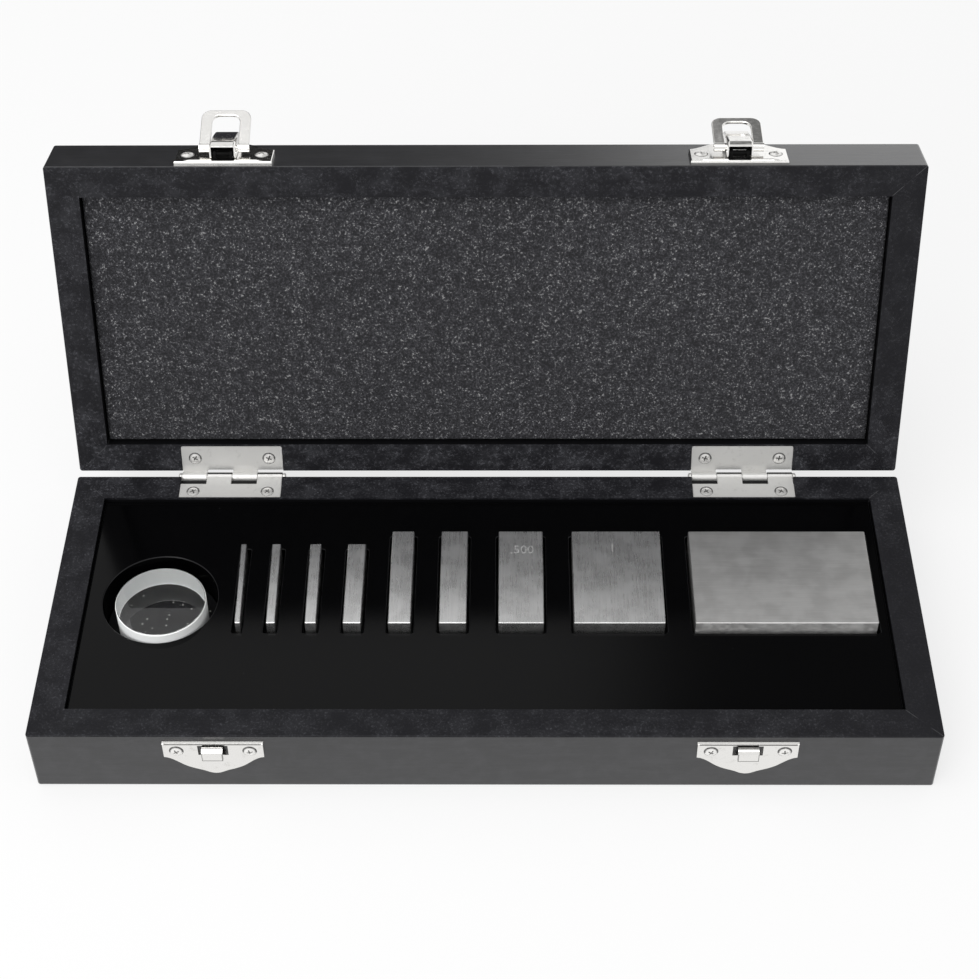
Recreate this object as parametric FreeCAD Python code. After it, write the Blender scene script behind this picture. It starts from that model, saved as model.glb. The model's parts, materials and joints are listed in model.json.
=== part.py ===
"""A cased inspection set of nine steel gauge blocks and one glass optical flat.

Millimetres. +X runs along the row of blocks, +Y points to the hinges and +Z is up. The origin is
the middle of the case's underside. The lid and its fittings are built shut, on top of the base,
and swung open about the hinge pins at the end.
"""
import FreeCAD, Part
import math
import os

from FreeCAD import Placement, Rotation, Vector

# --- Case: four mitred rails round a thin board, twice over -------------------------------------
CASE_WIDTH = 243.9
CASE_DEPTH = 97.3
BASE_HEIGHT = 21.8
LID_HEIGHT = 16.4
RAIL = 9.1
BOARD = 3.0
BOARD_REBATE = 4.0
BOARD_PLAY = 0.1
MATING_GAP = 0.35
CORNER_ROUND = 0.8
OUTER_ROUND = 0.7
RIM_ROUND = 0.35
MITRE_MARGIN = 2.0
LID_OPEN_DEG = 104.4

# --- Insert, lid lining and what they hold ------------------------------------------------------
INSERT_DROP = 1.6
INSERT_PLAY = 0.2
INSERT_EDGE_ROUND = 0.5
INSERT_EDGE_BREAK = 0.25
FOAM_DROP = 2.0
FOAM_PLAY = 0.15
FOAM_EDGE_ROUND = 0.8

INCH = 25.4
BLOCK_SECTION = 9.0
BLOCK_PROUD = 1.2
BLOCK_FRONT_Y = -10.0
BLOCK_EDGE = 0.2
SHORT_BLOCK = 30.0
LONG_BLOCK = 35.0
SLOT_SIDE_PLAY = 0.75
SLOT_FRONT_PLAY = 1.3
SLOT_BACK_PLAY = 0.5
SLOT_CORNER = 0.7

# Node name, nominal size in inches, length, place of its middle along X, turn in plan in degrees.
BLOCKS = (
    ("gauge_block_0_0625_in", 0.0625, SHORT_BLOCK, -69.3, 1.5),
    ("gauge_block_0_100_in", 0.100, SHORT_BLOCK, -60.0, 1.1),
    ("gauge_block_0_125_in", 0.125, SHORT_BLOCK, -48.8, 0.7),
    ("gauge_block_0_200_in", 0.200, SHORT_BLOCK, -37.1, 0.0),
    ("gauge_block_0_250_in", 0.250, LONG_BLOCK, -23.9, 0.0),
    ("gauge_block_0_300_in", 0.300, LONG_BLOCK, -9.05, 0.0),
    ("gauge_block_0_500_in", 0.500, LONG_BLOCK, 10.0, 0.0),
    ("gauge_block_1_000_in", 1.000, LONG_BLOCK, 37.4, 0.0),
    ("gauge_block_2_000_in", 2.000, LONG_BLOCK, 83.8, 0.0),
)

FLAT_RADIUS = 12.7
FLAT_HEIGHT = 12.7
FLAT_PROUD = 1.4
FLAT_CHAMFER = 0.35
FLAT_CENTRE = (-91.1, -2.2)
FLAT_PAD = 2.0
FLAT_POCKET_RADIUS = 16.25
FLAT_POCKET_CENTRE = (-91.9, 1.2)

# --- Butt hinges ---------------------------------------------------------------------------------
HINGE_X = (("left", -76.0), ("right", 76.0))
HINGE_LENGTH = 30.0
KNUCKLES = 4
KNUCKLE_GAP = 0.2
KNUCKLE_RADIUS = 1.4
AXIS_BACK = 1.05
AXIS_DROP = 1.4
LEAF = 0.9
LEAF_CORNER = 0.6
BASE_LEAF_DROP = 0.3
BASE_LEAF_FRONT = 8.6
BASE_LEAF_BACK = 2.9
LID_LEAF_LIFT = 0.4
LID_LEAF_FRONT = 8.5
LID_LEAF_BACK = 0.6
MORTISE_PLAY = 0.1
BARREL_PLAY = 0.3
PIN_RADIUS = 0.7
PIN_RUNNING_FIT = 0.06
PIN_HEAD_RADIUS = 1.2
PIN_HEAD = 0.9
HINGE_SCREW_X = 11.0
BASE_SCREW_BACK = 6.0
LID_SCREW_BACK = 4.4

# --- Screws: countersunk with a low raised head ---------------------------------------------------
SCREW_HEAD_RADIUS = 1.95
SCREW_CONE = 0.9
SCREW_SHANK_RADIUS = 0.9
SCREW_LENGTH = 6.0
SCREW_POINT = 1.2
HINGE_SCREW_DOME = 0.22
PLATE_SCREW_DOME = 0.6

# --- Latches: a plate with two ears, a channel lever and a stamped loop, and a hooked strike ------
LATCH_X = (("left", -72.3), ("right", 70.2))
PLATE = 1.0
PLATE_WIDTH = 27.0
PLATE_EDGE_ROUND = 0.3
# The brace's far edge from tip to shoulder: share of the half width, share of the rise past the side.
BRACE_CURVE = (
    (0.0, 1.0),
    (0.12, 0.95),
    (0.22, 0.85),
    (0.36, 0.74),
    (0.60, 0.50),
    (0.82, 0.15),
    (0.93, 0.03),
)
HEM_RADIUS = 0.6
HEM_RISE = 0.3
HEM_EDGE = 0.75
HEM_HALF = 11.0
HEM_TAPER = 1.6
LATCH_PLATE_START = 1.2
LATCH_PLATE_SIDE = 8.8
LATCH_PLATE_DEPTH = 14.8
LATCH_SCREW_X = 10.3
LATCH_SCREW_UP = 5.0
STRIKE_START = 2.4
STRIKE_SIDE = 5.6
STRIKE_DEPTH = 12.6
STRIKE_SCREW_X = 9.8
STRIKE_SCREW_DOWN = 2.8

LEVER_PIN_AT = (3.4, 2.5)
LOOP_PIN_AT = (6.2, 3.0)
EAR_INNER = 1.9
EAR_OUTER = 2.65
EAR_ROUND = 1.2
LEVER_HALF = 3.6
LEVER_WALL = 0.5
LEVER_NOSE_ROUND = 1.4
LEVER_FLOOR = 1.25
LEVER_FRONT_TOP = 5.0
LEVER_BROW = (3.0, 5.5)
LEVER_CROWN = (4.6, 5.7)
LEVER_BACK = (9.9, 5.15)
LEVER_TIP = (15.2, 4.2)
LEVER_TIP_LOW = 3.5
LEVER_HEEL = 11.5
LEVER_EDGE_ROUND = 0.7

LOOP_HALF = 6.9
LOOP_LEG = 3.0
LOOP_BAR = 1.8
LOOP_REACH = 11.2
LOOP_SHEET = 1.0
LOOP_OUTER_CORNER = 2.8
LOOP_INNER_CORNER = 2.4
LOOP_EDGE_ROUND = 0.25
LOOP_EYE_RADIUS = 1.2
LOOP_LEAN_DEG = {"left": 60.0, "right": 75.0}

HOOK_HALF = 2.8
HOOK_SHEET = 0.8
HOOK_SET_IN = 0.2
HOOK_INNER_RADIUS = 0.75
HOOK_BEND_DROP = 4.6
HOOK_END_DROP = 6.6
WINDOW_HALF = 4.05
WINDOW_TOP_DROP = 3.1
WINDOW_BOTTOM_DROP = 6.9

# --- Places worked out from the sizes above -------------------------------------------------------
HALF_WIDTH = CASE_WIDTH / 2
HALF_DEPTH = CASE_DEPTH / 2
LID_BOTTOM = BASE_HEIGHT + MATING_GAP
INSERT_TOP = BASE_HEIGHT - INSERT_DROP
BLOCK_TOP = BASE_HEIGHT + BLOCK_PROUD
FLAT_TOP = BASE_HEIGHT + FLAT_PROUD
FLAT_FLOOR = FLAT_TOP - FLAT_HEIGHT
AXIS_Y = HALF_DEPTH + AXIS_BACK
AXIS_Z = BASE_HEIGHT - AXIS_DROP
BASE_LEAF_TOP = BASE_HEIGHT - BASE_LEAF_DROP
LID_LEAF_FACE = BASE_HEIGHT + LID_LEAF_LIFT

HAIR = 1e-4
X_AXIS = Vector(1, 0, 0)
Y_AXIS = Vector(0, 1, 0)
Z_AXIS = Vector(0, 0, 1)
FACING_UP = Rotation()
FACING_DOWN = Rotation(X_AXIS, 180)
FACING_FRONT = Rotation(X_AXIS, 90)


# --- Helpers ---------------------------------------------------------------------------------------
def span_box(x, y, z):
    """Return the box between three (low, high) pairs."""
    return Part.makeBox(x[1] - x[0], y[1] - y[0], z[1] - z[0], Vector(x[0], y[0], z[0]))


def rod_x(radius, x_from, x_to, y, z):
    """Return a round rod that lies along X."""
    return Part.makeCylinder(radius, x_to - x_from, Vector(x_from, y, z), X_AXIS)


def prism(points, direction):
    """Return the prism over a closed polygon."""
    outline = Part.makePolygon(list(points) + [points[0]])
    return Part.Face(outline).extrude(direction)


def moved(shape, offset):
    """Return a copy of the shape, shifted."""
    copy = shape.copy()
    copy.translate(offset)
    return copy


def opened(shape):
    """Return a lid piece swung from shut to open about the hinge pins."""
    copy = shape.copy()
    copy.rotate(Vector(0, AXIS_Y, AXIS_Z), X_AXIS, -LID_OPEN_DEG)
    return copy


def edges_where(shape, test):
    """Return the edges whose two ends and middle all pass the test."""
    chosen = []
    for edge in shape.Edges:
        middle = edge.valueAt((edge.FirstParameter + edge.LastParameter) / 2)
        ends = [vertex.Point for vertex in edge.Vertexes]
        if all(test(point) for point in ends + [middle]):
            chosen.append(edge)
    return chosen


def upright_edges(shape):
    """Return the edges that run along Z."""
    return [edge for edge in shape.Edges if edge.tangentAt(edge.FirstParameter).cross(Z_AXIS).Length < HAIR]


def near(value, target):
    """Tell whether two lengths are the same, within a hair."""
    return abs(value - target) < HAIR


# --- Case -------------------------------------------------------------------------------------------
def case_ring(bottom, height, board_at_top):
    """Return the whole frame of rails, rounded outside, with its rebate for the board."""
    top = bottom + height
    ring = span_box((-HALF_WIDTH, HALF_WIDTH), (-HALF_DEPTH, HALF_DEPTH), (bottom, top))
    ring = ring.makeFillet(CORNER_ROUND, upright_edges(ring))
    board_face, rim = (top, bottom) if board_at_top else (bottom, top)
    ring = ring.makeFillet(OUTER_ROUND, edges_where(ring, lambda p: near(p.z, board_face)))
    ring = ring.makeFillet(RIM_ROUND, edges_where(ring, lambda p: near(p.z, rim)))
    inner_x = HALF_WIDTH - RAIL
    inner_y = HALF_DEPTH - RAIL
    ring = ring.cut(span_box((-inner_x, inner_x), (-inner_y, inner_y), (bottom - 1, top + 1)))
    return ring.cut(board_box(bottom, height, board_at_top, 0.0))


def board_box(bottom, height, at_top, play):
    """Return the board that closes the frame, smaller than its rebate by the play."""
    reach_x = HALF_WIDTH - RAIL + BOARD_REBATE - play
    reach_y = HALF_DEPTH - RAIL + BOARD_REBATE - play
    low = bottom + height - BOARD if at_top else bottom
    return span_box((-reach_x, reach_x), (-reach_y, reach_y), (low, low + BOARD))


def mitre_wedges(bottom, height):
    """Return the plan wedge of each rail, bounded by the 45 degree mitres."""
    out_x = HALF_WIDTH + MITRE_MARGIN
    out_y = HALF_DEPTH + MITRE_MARGIN
    in_x = HALF_WIDTH - RAIL - MITRE_MARGIN
    in_y = HALF_DEPTH - RAIL - MITRE_MARGIN
    sides = {
        "front_rail": ((-out_x, -out_y), (out_x, -out_y), (in_x, -in_y), (-in_x, -in_y)),
        "right_rail": ((out_x, -out_y), (out_x, out_y), (in_x, in_y), (in_x, -in_y)),
        "back_rail": ((out_x, out_y), (-out_x, out_y), (-in_x, in_y), (in_x, in_y)),
        "left_rail": ((-out_x, out_y), (-out_x, -out_y), (-in_x, -in_y), (-in_x, in_y)),
    }
    tall = Vector(0, 0, height + 2)
    wedges = {}
    for name, outline in sides.items():
        wedges[name] = prism([Vector(x, y, bottom - 1) for x, y in outline], tall)
    return wedges


def mitred_rails(bottom, height, board_at_top, cutters):
    """Return the four rails by name, after the cuts for hinges and screws."""
    ring = case_ring(bottom, height, board_at_top)
    ring = ring.cut(cutters)
    return {name: ring.common(wedge) for name, wedge in mitre_wedges(bottom, height).items()}


# --- Screws -----------------------------------------------------------------------------------------
def screw(position, facing, dome):
    """Return a countersunk screw with a raised head, its head's rim level with the position."""
    crown = Part.Arc(Vector(0, 0, dome), crown_middle(dome), Vector(SCREW_HEAD_RADIUS, 0, 0))
    profile = [
        Vector(SCREW_HEAD_RADIUS, 0, 0),
        Vector(SCREW_SHANK_RADIUS, 0, -SCREW_CONE),
        Vector(SCREW_SHANK_RADIUS, 0, SCREW_POINT - SCREW_LENGTH),
        Vector(0, 0, -SCREW_LENGTH),
        Vector(0, 0, dome),
    ]
    wire = Part.Wire([crown.toShape()] + Part.makePolygon(profile).Edges)
    body = Part.Face(wire).revolve(Vector(), Z_AXIS, 360)
    body.Placement = Placement(position, facing)
    return body


def crown_middle(dome):
    """Return the point half way along the head's crown, a shallow arc from top to rim."""
    radius = (SCREW_HEAD_RADIUS ** 2 + dome ** 2) / (2 * dome)
    half_angle = math.asin(SCREW_HEAD_RADIUS / radius) / 2
    return Vector(radius * math.sin(half_angle), 0, dome - radius * (1 - math.cos(half_angle)))


def hinge_screws(centre_x, lid):
    """Return the two screws of one hinge leaf."""
    back = LID_SCREW_BACK if lid else BASE_SCREW_BACK
    level = LID_LEAF_FACE if lid else BASE_LEAF_TOP
    facing = FACING_DOWN if lid else FACING_UP
    places = [Vector(centre_x + side * HINGE_SCREW_X, HALF_DEPTH - back, level) for side in (-1, 1)]
    return [screw(place, facing, HINGE_SCREW_DOME) for place in places]


def plate_screws(centre_x, spread, level):
    """Return the two screws of one latch plate or strike on the front of the case."""
    places = [Vector(centre_x + side * spread, -HALF_DEPTH - PLATE, level) for side in (-1, 1)]
    return [screw(place, FACING_FRONT, PLATE_SCREW_DOME) for place in places]


# --- Hinges -----------------------------------------------------------------------------------------
def knuckle_spans(lid):
    """Return the X spans of the knuckles that belong to one leaf, in turn along the pin."""
    pitch = HINGE_LENGTH / KNUCKLES
    first = 0 if lid else 1
    spans = []
    for index in range(first, KNUCKLES, 2):
        start = -HINGE_LENGTH / 2 + index * pitch
        spans.append((start + KNUCKLE_GAP / 2, start + pitch - KNUCKLE_GAP / 2))
    return spans


def leaf_plate(front, back, low):
    """Return a leaf's flat plate with its two front corners rounded."""
    half = HINGE_LENGTH / 2
    plate = span_box((-half, half), (HALF_DEPTH - front, HALF_DEPTH - back), (low, low + LEAF))
    corners = edges_where(plate, lambda p: near(p.y, HALF_DEPTH - front) and near(abs(p.x), half))
    return plate.makeFillet(LEAF_CORNER, corners)


def base_strap(span):
    """Return the strap from the base leaf into one of its knuckles."""
    return span_box(span, (HALF_DEPTH - BASE_LEAF_BACK - 1, AXIS_Y), (BASE_LEAF_TOP - LEAF, BASE_LEAF_TOP))


def lid_strap(span):
    """Return the strap from the lid leaf, bent down round one of its knuckles."""
    slant = KNUCKLE_RADIUS * math.sqrt(0.5)
    outer_face = LID_LEAF_FACE + LEAF
    side = [
        (HALF_DEPTH - LID_LEAF_BACK - 1, LID_LEAF_FACE),
        (HALF_DEPTH - LID_LEAF_BACK - 1, outer_face),
        (AXIS_Y - slant / 2, outer_face),
        (AXIS_Y + slant, AXIS_Z + slant),
        (AXIS_Y, AXIS_Z),
        (AXIS_Y - slant, AXIS_Z + slant),
        (AXIS_Y - slant, LID_LEAF_FACE),
    ]
    return prism([Vector(span[0], y, z) for y, z in side], Vector(span[1] - span[0], 0, 0))


def hinge_leaf(centre_x, lid):
    """Return one leaf: plate, straps and knuckles, bored for the pin and for its screws."""
    if lid:
        leaf = leaf_plate(LID_LEAF_FRONT, LID_LEAF_BACK, LID_LEAF_FACE)
    else:
        leaf = leaf_plate(BASE_LEAF_FRONT, BASE_LEAF_BACK, BASE_LEAF_TOP - LEAF)
    for span in knuckle_spans(lid):
        strap = lid_strap(span) if lid else base_strap(span)
        leaf = leaf.fuse([strap, rod_x(KNUCKLE_RADIUS, span[0], span[1], AXIS_Y, AXIS_Z)])
    bore = PIN_RADIUS + (PIN_RUNNING_FIT if lid else 0.0)
    leaf = leaf.cut(rod_x(bore, -HINGE_LENGTH, HINGE_LENGTH, AXIS_Y, AXIS_Z)).removeSplitter()
    return moved(leaf, Vector(centre_x, 0, 0)).cut(hinge_screws(centre_x, lid))


def hinge_pin(centre_x):
    """Return the hinge pin with a button head at each end."""
    reach = HINGE_LENGTH / 2 + KNUCKLE_GAP / 2
    pin = rod_x(PIN_RADIUS, -reach - PIN_HEAD / 2, reach + PIN_HEAD / 2, AXIS_Y, AXIS_Z)
    for start in (-reach - PIN_HEAD, reach):
        head = rod_x(PIN_HEAD_RADIUS, start, start + PIN_HEAD, AXIS_Y, AXIS_Z)
        outer = start if start < 0 else start + PIN_HEAD
        head = head.makeChamfer(PIN_HEAD / 3, edges_where(head, lambda p: near(p.x, outer)))
        pin = pin.fuse(head)
    return moved(pin.removeSplitter(), Vector(centre_x, 0, 0))


def hinge_mortises(lid):
    """Return what the hinges take out of a back rail: leaf beds and room for the barrels."""
    half = HINGE_LENGTH / 2 + MORTISE_PLAY
    cuts = []
    for _, centre_x in HINGE_X:
        across = (centre_x - half, centre_x + half)
        if lid:
            level = (LID_BOTTOM - 1, LID_LEAF_FACE + LEAF)
            front = LID_LEAF_FRONT
        else:
            level = (BASE_LEAF_TOP - LEAF, BASE_HEIGHT + 1)
            front = BASE_LEAF_FRONT
        cuts.append(span_box(across, (HALF_DEPTH - front - MORTISE_PLAY, HALF_DEPTH + 1), level))
        reach = HINGE_LENGTH / 2 + PIN_HEAD + BARREL_PLAY
        barrel = (KNUCKLE_RADIUS + BARREL_PLAY, centre_x - reach, centre_x + reach, AXIS_Y, AXIS_Z)
        cuts.append(rod_x(*barrel))
    return cuts


# --- Latches ----------------------------------------------------------------------------------------
# A latch piece is drawn with X across it, Z away from the lid's rim and -Y out of the case's front.
def latch_point(away, out):
    """Return the point so far from the rim and so far out of the front, on the latch's middle."""
    return Vector(0, -out, away)


def on_lid_front(shape, centre_x):
    """Return a latch piece moved to its place on the front of the shut lid, then swung open."""
    return opened(moved(shape, Vector(centre_x, -HALF_DEPTH, LID_BOTTOM)))


def hem():
    """Return the rib pressed along the latch plate's straight edge, tapered to the face at its ends."""
    flush = HEM_RADIUS - HEM_RISE
    centre = latch_point(HEM_EDGE, PLATE - flush)
    body = HEM_HALF - HEM_TAPER
    pieces = [rod_x(HEM_RADIUS, -body, body, centre.y, centre.z)]
    for side in (-1, 1):
        start = centre + Vector(side * body, 0, 0)
        pieces.append(Part.makeCone(HEM_RADIUS, flush, HEM_TAPER, start, Vector(side, 0, 0)))
    return pieces


def brace_plate(side, depth):
    """Return a plate with one straight edge on X and a far edge shaped like a curly brace."""
    half = PLATE_WIDTH / 2
    rise = depth - side
    right = [Vector(half * across, 0, side + rise * up) for across, up in BRACE_CURVE]
    left = [Vector(-point.x, 0, point.z) for point in reversed(right[1:])]
    brace = Part.BSplineCurve()
    brace.interpolate(left + right)
    frame = [
        left[0],
        Vector(-half, 0, side),
        Vector(-half, 0, 0),
        Vector(half, 0, 0),
        Vector(half, 0, side),
        right[-1],
    ]
    outline = Part.Wire(Part.__sortEdges__([brace.toShape()] + Part.makePolygon(frame).Edges))
    plate = Part.Face(outline).extrude(Vector(0, -PLATE, 0))
    return plate.makeFillet(PLATE_EDGE_ROUND, edges_where(plate, lambda p: near(p.y, -PLATE)))


def latch_plate(centre_x):
    """Return the latch's base plate with the two ears that carry the lever's pin."""
    plate = brace_plate(LATCH_PLATE_SIDE, LATCH_PLATE_DEPTH).fuse(hem())
    plate = moved(plate, latch_point(LATCH_PLATE_START, 0))
    away, out = LEVER_PIN_AT
    for side in (-1, 1):
        low, high = sorted((side * EAR_INNER, side * EAR_OUTER))
        post = span_box((low, high), (-out, -PLATE / 2), (away - EAR_ROUND, away + EAR_ROUND))
        plate = plate.fuse([post, rod_x(EAR_ROUND, low, high, -out, away)])
    plate = plate.cut(rod_x(PIN_RADIUS, -LEVER_HALF, LEVER_HALF, -out, away)).removeSplitter()
    placed = moved(plate, Vector(centre_x, -HALF_DEPTH, LID_BOTTOM))
    return opened(placed.cut(latch_screws(centre_x)))


def latch_screws(centre_x):
    """Return the latch plate's two screws, with the lid shut."""
    return plate_screws(centre_x, LATCH_SCREW_X, LID_BOTTOM + LATCH_PLATE_START + LATCH_SCREW_UP)


def lever_side():
    """Return the lever's side outline: a round nose about its pin, a crowned back and a thin tip."""
    away, out = LEVER_PIN_AT
    nose_low = latch_point(away, out - LEVER_NOSE_ROUND)
    nose_front = latch_point(away - LEVER_NOSE_ROUND, out)
    slant = LEVER_NOSE_ROUND * math.sqrt(0.5)
    top_front = latch_point(away - LEVER_NOSE_ROUND, LEVER_FRONT_TOP)
    tip = latch_point(*LEVER_TIP)
    tip_low = latch_point(LEVER_TIP[0], LEVER_TIP_LOW)
    heel = latch_point(LEVER_HEEL, LEVER_FLOOR)
    step = latch_point(away, LEVER_FLOOR)
    edges = [
        Part.LineSegment(tip_low, heel).toShape(),
        Part.LineSegment(heel, step).toShape(),
        Part.LineSegment(step, nose_low).toShape(),
        Part.Arc(nose_low, latch_point(away - slant, out - slant), nose_front).toShape(),
        Part.LineSegment(nose_front, top_front).toShape(),
        Part.Arc(top_front, latch_point(*LEVER_BROW), latch_point(*LEVER_CROWN)).toShape(),
        Part.Arc(latch_point(*LEVER_CROWN), latch_point(*LEVER_BACK), tip).toShape(),
        Part.LineSegment(tip, tip_low).toShape(),
    ]
    return Part.Face(Part.Wire(edges))


def lever_blank():
    """Return the lever as a solid bar with its two long top edges rounded."""
    blank = moved(lever_side(), Vector(-LEVER_HALF, 0, 0)).extrude(Vector(2 * LEVER_HALF, 0, 0))

    def on_crown(point):
        return near(abs(point.x), LEVER_HALF) and -point.y > LEVER_FRONT_TOP - HAIR

    return blank.makeFillet(LEVER_EDGE_ROUND, edges_where(blank, on_crown))


def latch_lever(centre_x):
    """Return the folded channel lever, open below and at its nose."""
    lever = lever_blank()
    inside = LEVER_HALF - LEVER_WALL
    roof = [
        latch_point(0, 0),
        latch_point(0, LEVER_FRONT_TOP - LEVER_WALL),
        latch_point(LEVER_CROWN[0], LEVER_CROWN[1] - LEVER_WALL),
        latch_point(LEVER_BACK[0], LEVER_BACK[1] - LEVER_WALL),
        latch_point(LEVER_TIP[0] - LEVER_WALL, LEVER_TIP[1] - LEVER_WALL),
        latch_point(LEVER_TIP[0] - LEVER_WALL, 0),
    ]
    hollow = prism([point + Vector(-inside, 0, 0) for point in roof], Vector(2 * inside, 0, 0))
    lever = lever.cut(hollow)
    pin_away, pin_out = LEVER_PIN_AT
    loop_away, loop_out = LOOP_PIN_AT
    bores = [
        rod_x(PIN_RADIUS + PIN_RUNNING_FIT, -LOOP_HALF, LOOP_HALF, -pin_out, pin_away),
        rod_x(PIN_RADIUS, -LOOP_HALF, LOOP_HALF, -loop_out, loop_away),
    ]
    return on_lid_front(lever.cut(bores).removeSplitter(), centre_x)


def latch_pin(centre_x, place, half_length):
    """Return a plain pin across the latch."""
    away, out = place
    return on_lid_front(rod_x(PIN_RADIUS, -half_length, half_length, -out, away), centre_x)


def loop_sheet():
    """Return the loop's flat stamping, an arch with wide legs and a narrow bar."""
    inner_half = LOOP_HALF - LOOP_LEG
    reach = LOOP_REACH + LOOP_BAR
    thick = (-LOOP_SHEET / 2, LOOP_SHEET / 2)
    arch = span_box((-LOOP_HALF, LOOP_HALF), thick, (0, reach))
    arch = arch.makeFillet(
        LOOP_OUTER_CORNER,
        edges_where(arch, lambda p: near(abs(p.x), LOOP_HALF) and near(p.z, reach)),
    )
    window = span_box((-inner_half, inner_half), (-LOOP_SHEET, LOOP_SHEET), (-1, LOOP_REACH))
    window = window.makeFillet(
        LOOP_INNER_CORNER,
        edges_where(window, lambda p: near(abs(p.x), inner_half) and near(p.z, LOOP_REACH)),
    )
    arch = arch.cut(window)
    faces = edges_where(arch, lambda p: near(abs(p.y), LOOP_SHEET / 2))
    rims = [edge for edge in faces if edge.BoundBox.ZMax > HAIR]
    return arch.makeFillet(LOOP_EDGE_ROUND, rims)


def latch_loop(centre_x, lean):
    """Return the loop with an eye rolled on the end of each leg, leant back about its pin."""
    loop = loop_sheet()
    for low, high in ((-LOOP_HALF, LOOP_LEG - LOOP_HALF), (LOOP_HALF - LOOP_LEG, LOOP_HALF)):
        loop = loop.fuse(rod_x(LOOP_EYE_RADIUS, low, high, 0, 0))
    loop = loop.cut(rod_x(PIN_RADIUS + PIN_RUNNING_FIT, -2 * LOOP_HALF, 2 * LOOP_HALF, 0, 0))
    loop = loop.removeSplitter()
    loop.rotate(Vector(), X_AXIS, 90 - lean)
    return on_lid_front(moved(loop, latch_point(*LOOP_PIN_AT)), centre_x)


def strike_hook():
    """Return the strike's hook: a strip that rises from the window's sill and curls over, down."""
    inner_face = HOOK_SET_IN
    outer_face = HOOK_SET_IN + HOOK_SHEET
    centre_out = outer_face + HOOK_INNER_RADIUS
    outer_radius = HOOK_INNER_RADIUS + HOOK_SHEET
    far_inner = centre_out + HOOK_INNER_RADIUS
    far_outer = centre_out + outer_radius
    bend = -HOOK_BEND_DROP
    end = -HOOK_END_DROP
    sill = -WINDOW_BOTTOM_DROP
    edges = [
        Part.LineSegment(latch_point(sill, inner_face), latch_point(bend, inner_face)).toShape(),
        Part.Arc(
            latch_point(bend, inner_face),
            latch_point(bend + outer_radius, centre_out),
            latch_point(bend, far_outer),
        ).toShape(),
        Part.LineSegment(latch_point(bend, far_outer), latch_point(end, far_outer)).toShape(),
        Part.LineSegment(latch_point(end, far_outer), latch_point(end, far_inner)).toShape(),
        Part.LineSegment(latch_point(end, far_inner), latch_point(bend, far_inner)).toShape(),
        Part.Arc(
            latch_point(bend, far_inner),
            latch_point(bend + HOOK_INNER_RADIUS, centre_out),
            latch_point(bend, outer_face),
        ).toShape(),
        Part.LineSegment(latch_point(bend, outer_face), latch_point(sill, outer_face)).toShape(),
        Part.LineSegment(latch_point(sill, outer_face), latch_point(sill, inner_face)).toShape(),
    ]
    face = moved(Part.Face(Part.Wire(edges)), Vector(-HOOK_HALF, 0, 0))
    return face.extrude(Vector(2 * HOOK_HALF, 0, 0))


def strike_plate(centre_x):
    """Return the strike: a brace plate hung tip down, with its window and hook."""
    plate = brace_plate(STRIKE_SIDE, STRIKE_DEPTH)
    plate.rotate(Vector(), Y_AXIS, 180)
    plate = moved(plate, latch_point(-STRIKE_START, 0))
    window = span_box(
        (-WINDOW_HALF, WINDOW_HALF),
        (-2 * PLATE, PLATE),
        (-WINDOW_BOTTOM_DROP, -WINDOW_TOP_DROP),
    )
    plate = plate.cut(window).fuse(strike_hook()).removeSplitter()
    placed = moved(plate, Vector(centre_x, -HALF_DEPTH, BASE_HEIGHT))
    return placed.cut(strike_screws(centre_x))


def strike_screws(centre_x):
    """Return the strike's two screws."""
    return plate_screws(centre_x, STRIKE_SCREW_X, BASE_HEIGHT - STRIKE_START - STRIKE_SCREW_DOWN)


# --- Insert, blocks and optical flat ----------------------------------------------------------------
def block_slot(size, length, centre_x):
    """Return the slot that a gauge block stands in, a little larger than the block."""
    half = size / 2 + SLOT_SIDE_PLAY
    y = (BLOCK_FRONT_Y - SLOT_FRONT_PLAY, BLOCK_FRONT_Y + length + SLOT_BACK_PLAY)
    slot = span_box((centre_x - half, centre_x + half), y, (BLOCK_TOP - BLOCK_SECTION, BASE_HEIGHT))
    return slot.makeFillet(SLOT_CORNER, upright_edges(slot))


def gauge_block(size, length, centre_x, turn):
    """Return one rectangular gauge block, its edges broken, turned a little in its slot."""
    half = size / 2
    y = (BLOCK_FRONT_Y, BLOCK_FRONT_Y + length)
    block = span_box((centre_x - half, centre_x + half), y, (BLOCK_TOP - BLOCK_SECTION, BLOCK_TOP))
    block = block.makeChamfer(BLOCK_EDGE, block.Edges)
    block.rotate(Vector(centre_x, BLOCK_FRONT_Y + length / 2, 0), Z_AXIS, turn)
    return block


def insert():
    """Return the insert that fills the base, with a slot for each block and a round pocket."""
    x = HALF_WIDTH - RAIL - INSERT_PLAY
    y = HALF_DEPTH - RAIL - INSERT_PLAY
    body = span_box((-x, x), (-y, y), (BOARD, INSERT_TOP))
    body = body.makeFillet(INSERT_EDGE_ROUND, edges_where(body, lambda p: near(p.z, INSERT_TOP)))
    floor = FLAT_FLOOR - FLAT_PAD
    pocket_at = Vector(FLAT_POCKET_CENTRE[0], FLAT_POCKET_CENTRE[1], floor)
    cuts = [Part.makeCylinder(FLAT_POCKET_RADIUS, BASE_HEIGHT - floor, pocket_at)]
    for _, inches, length, centre_x, _ in BLOCKS:
        cuts.append(block_slot(inches * INCH, length, centre_x))
    body = body.cut(cuts)

    margin = 2 * INSERT_EDGE_ROUND

    def on_mouth(point):
        inside = abs(point.x) < x - margin and abs(point.y) < y - margin
        return near(point.z, INSERT_TOP) and inside

    return body.makeChamfer(INSERT_EDGE_BREAK, edges_where(body, on_mouth))


def flat_pad():
    """Return the soft pad on the floor of the round pocket."""
    floor = Vector(FLAT_POCKET_CENTRE[0], FLAT_POCKET_CENTRE[1], FLAT_FLOOR - FLAT_PAD)
    return Part.makeCylinder(FLAT_POCKET_RADIUS - INSERT_PLAY, FLAT_PAD, floor)


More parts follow.
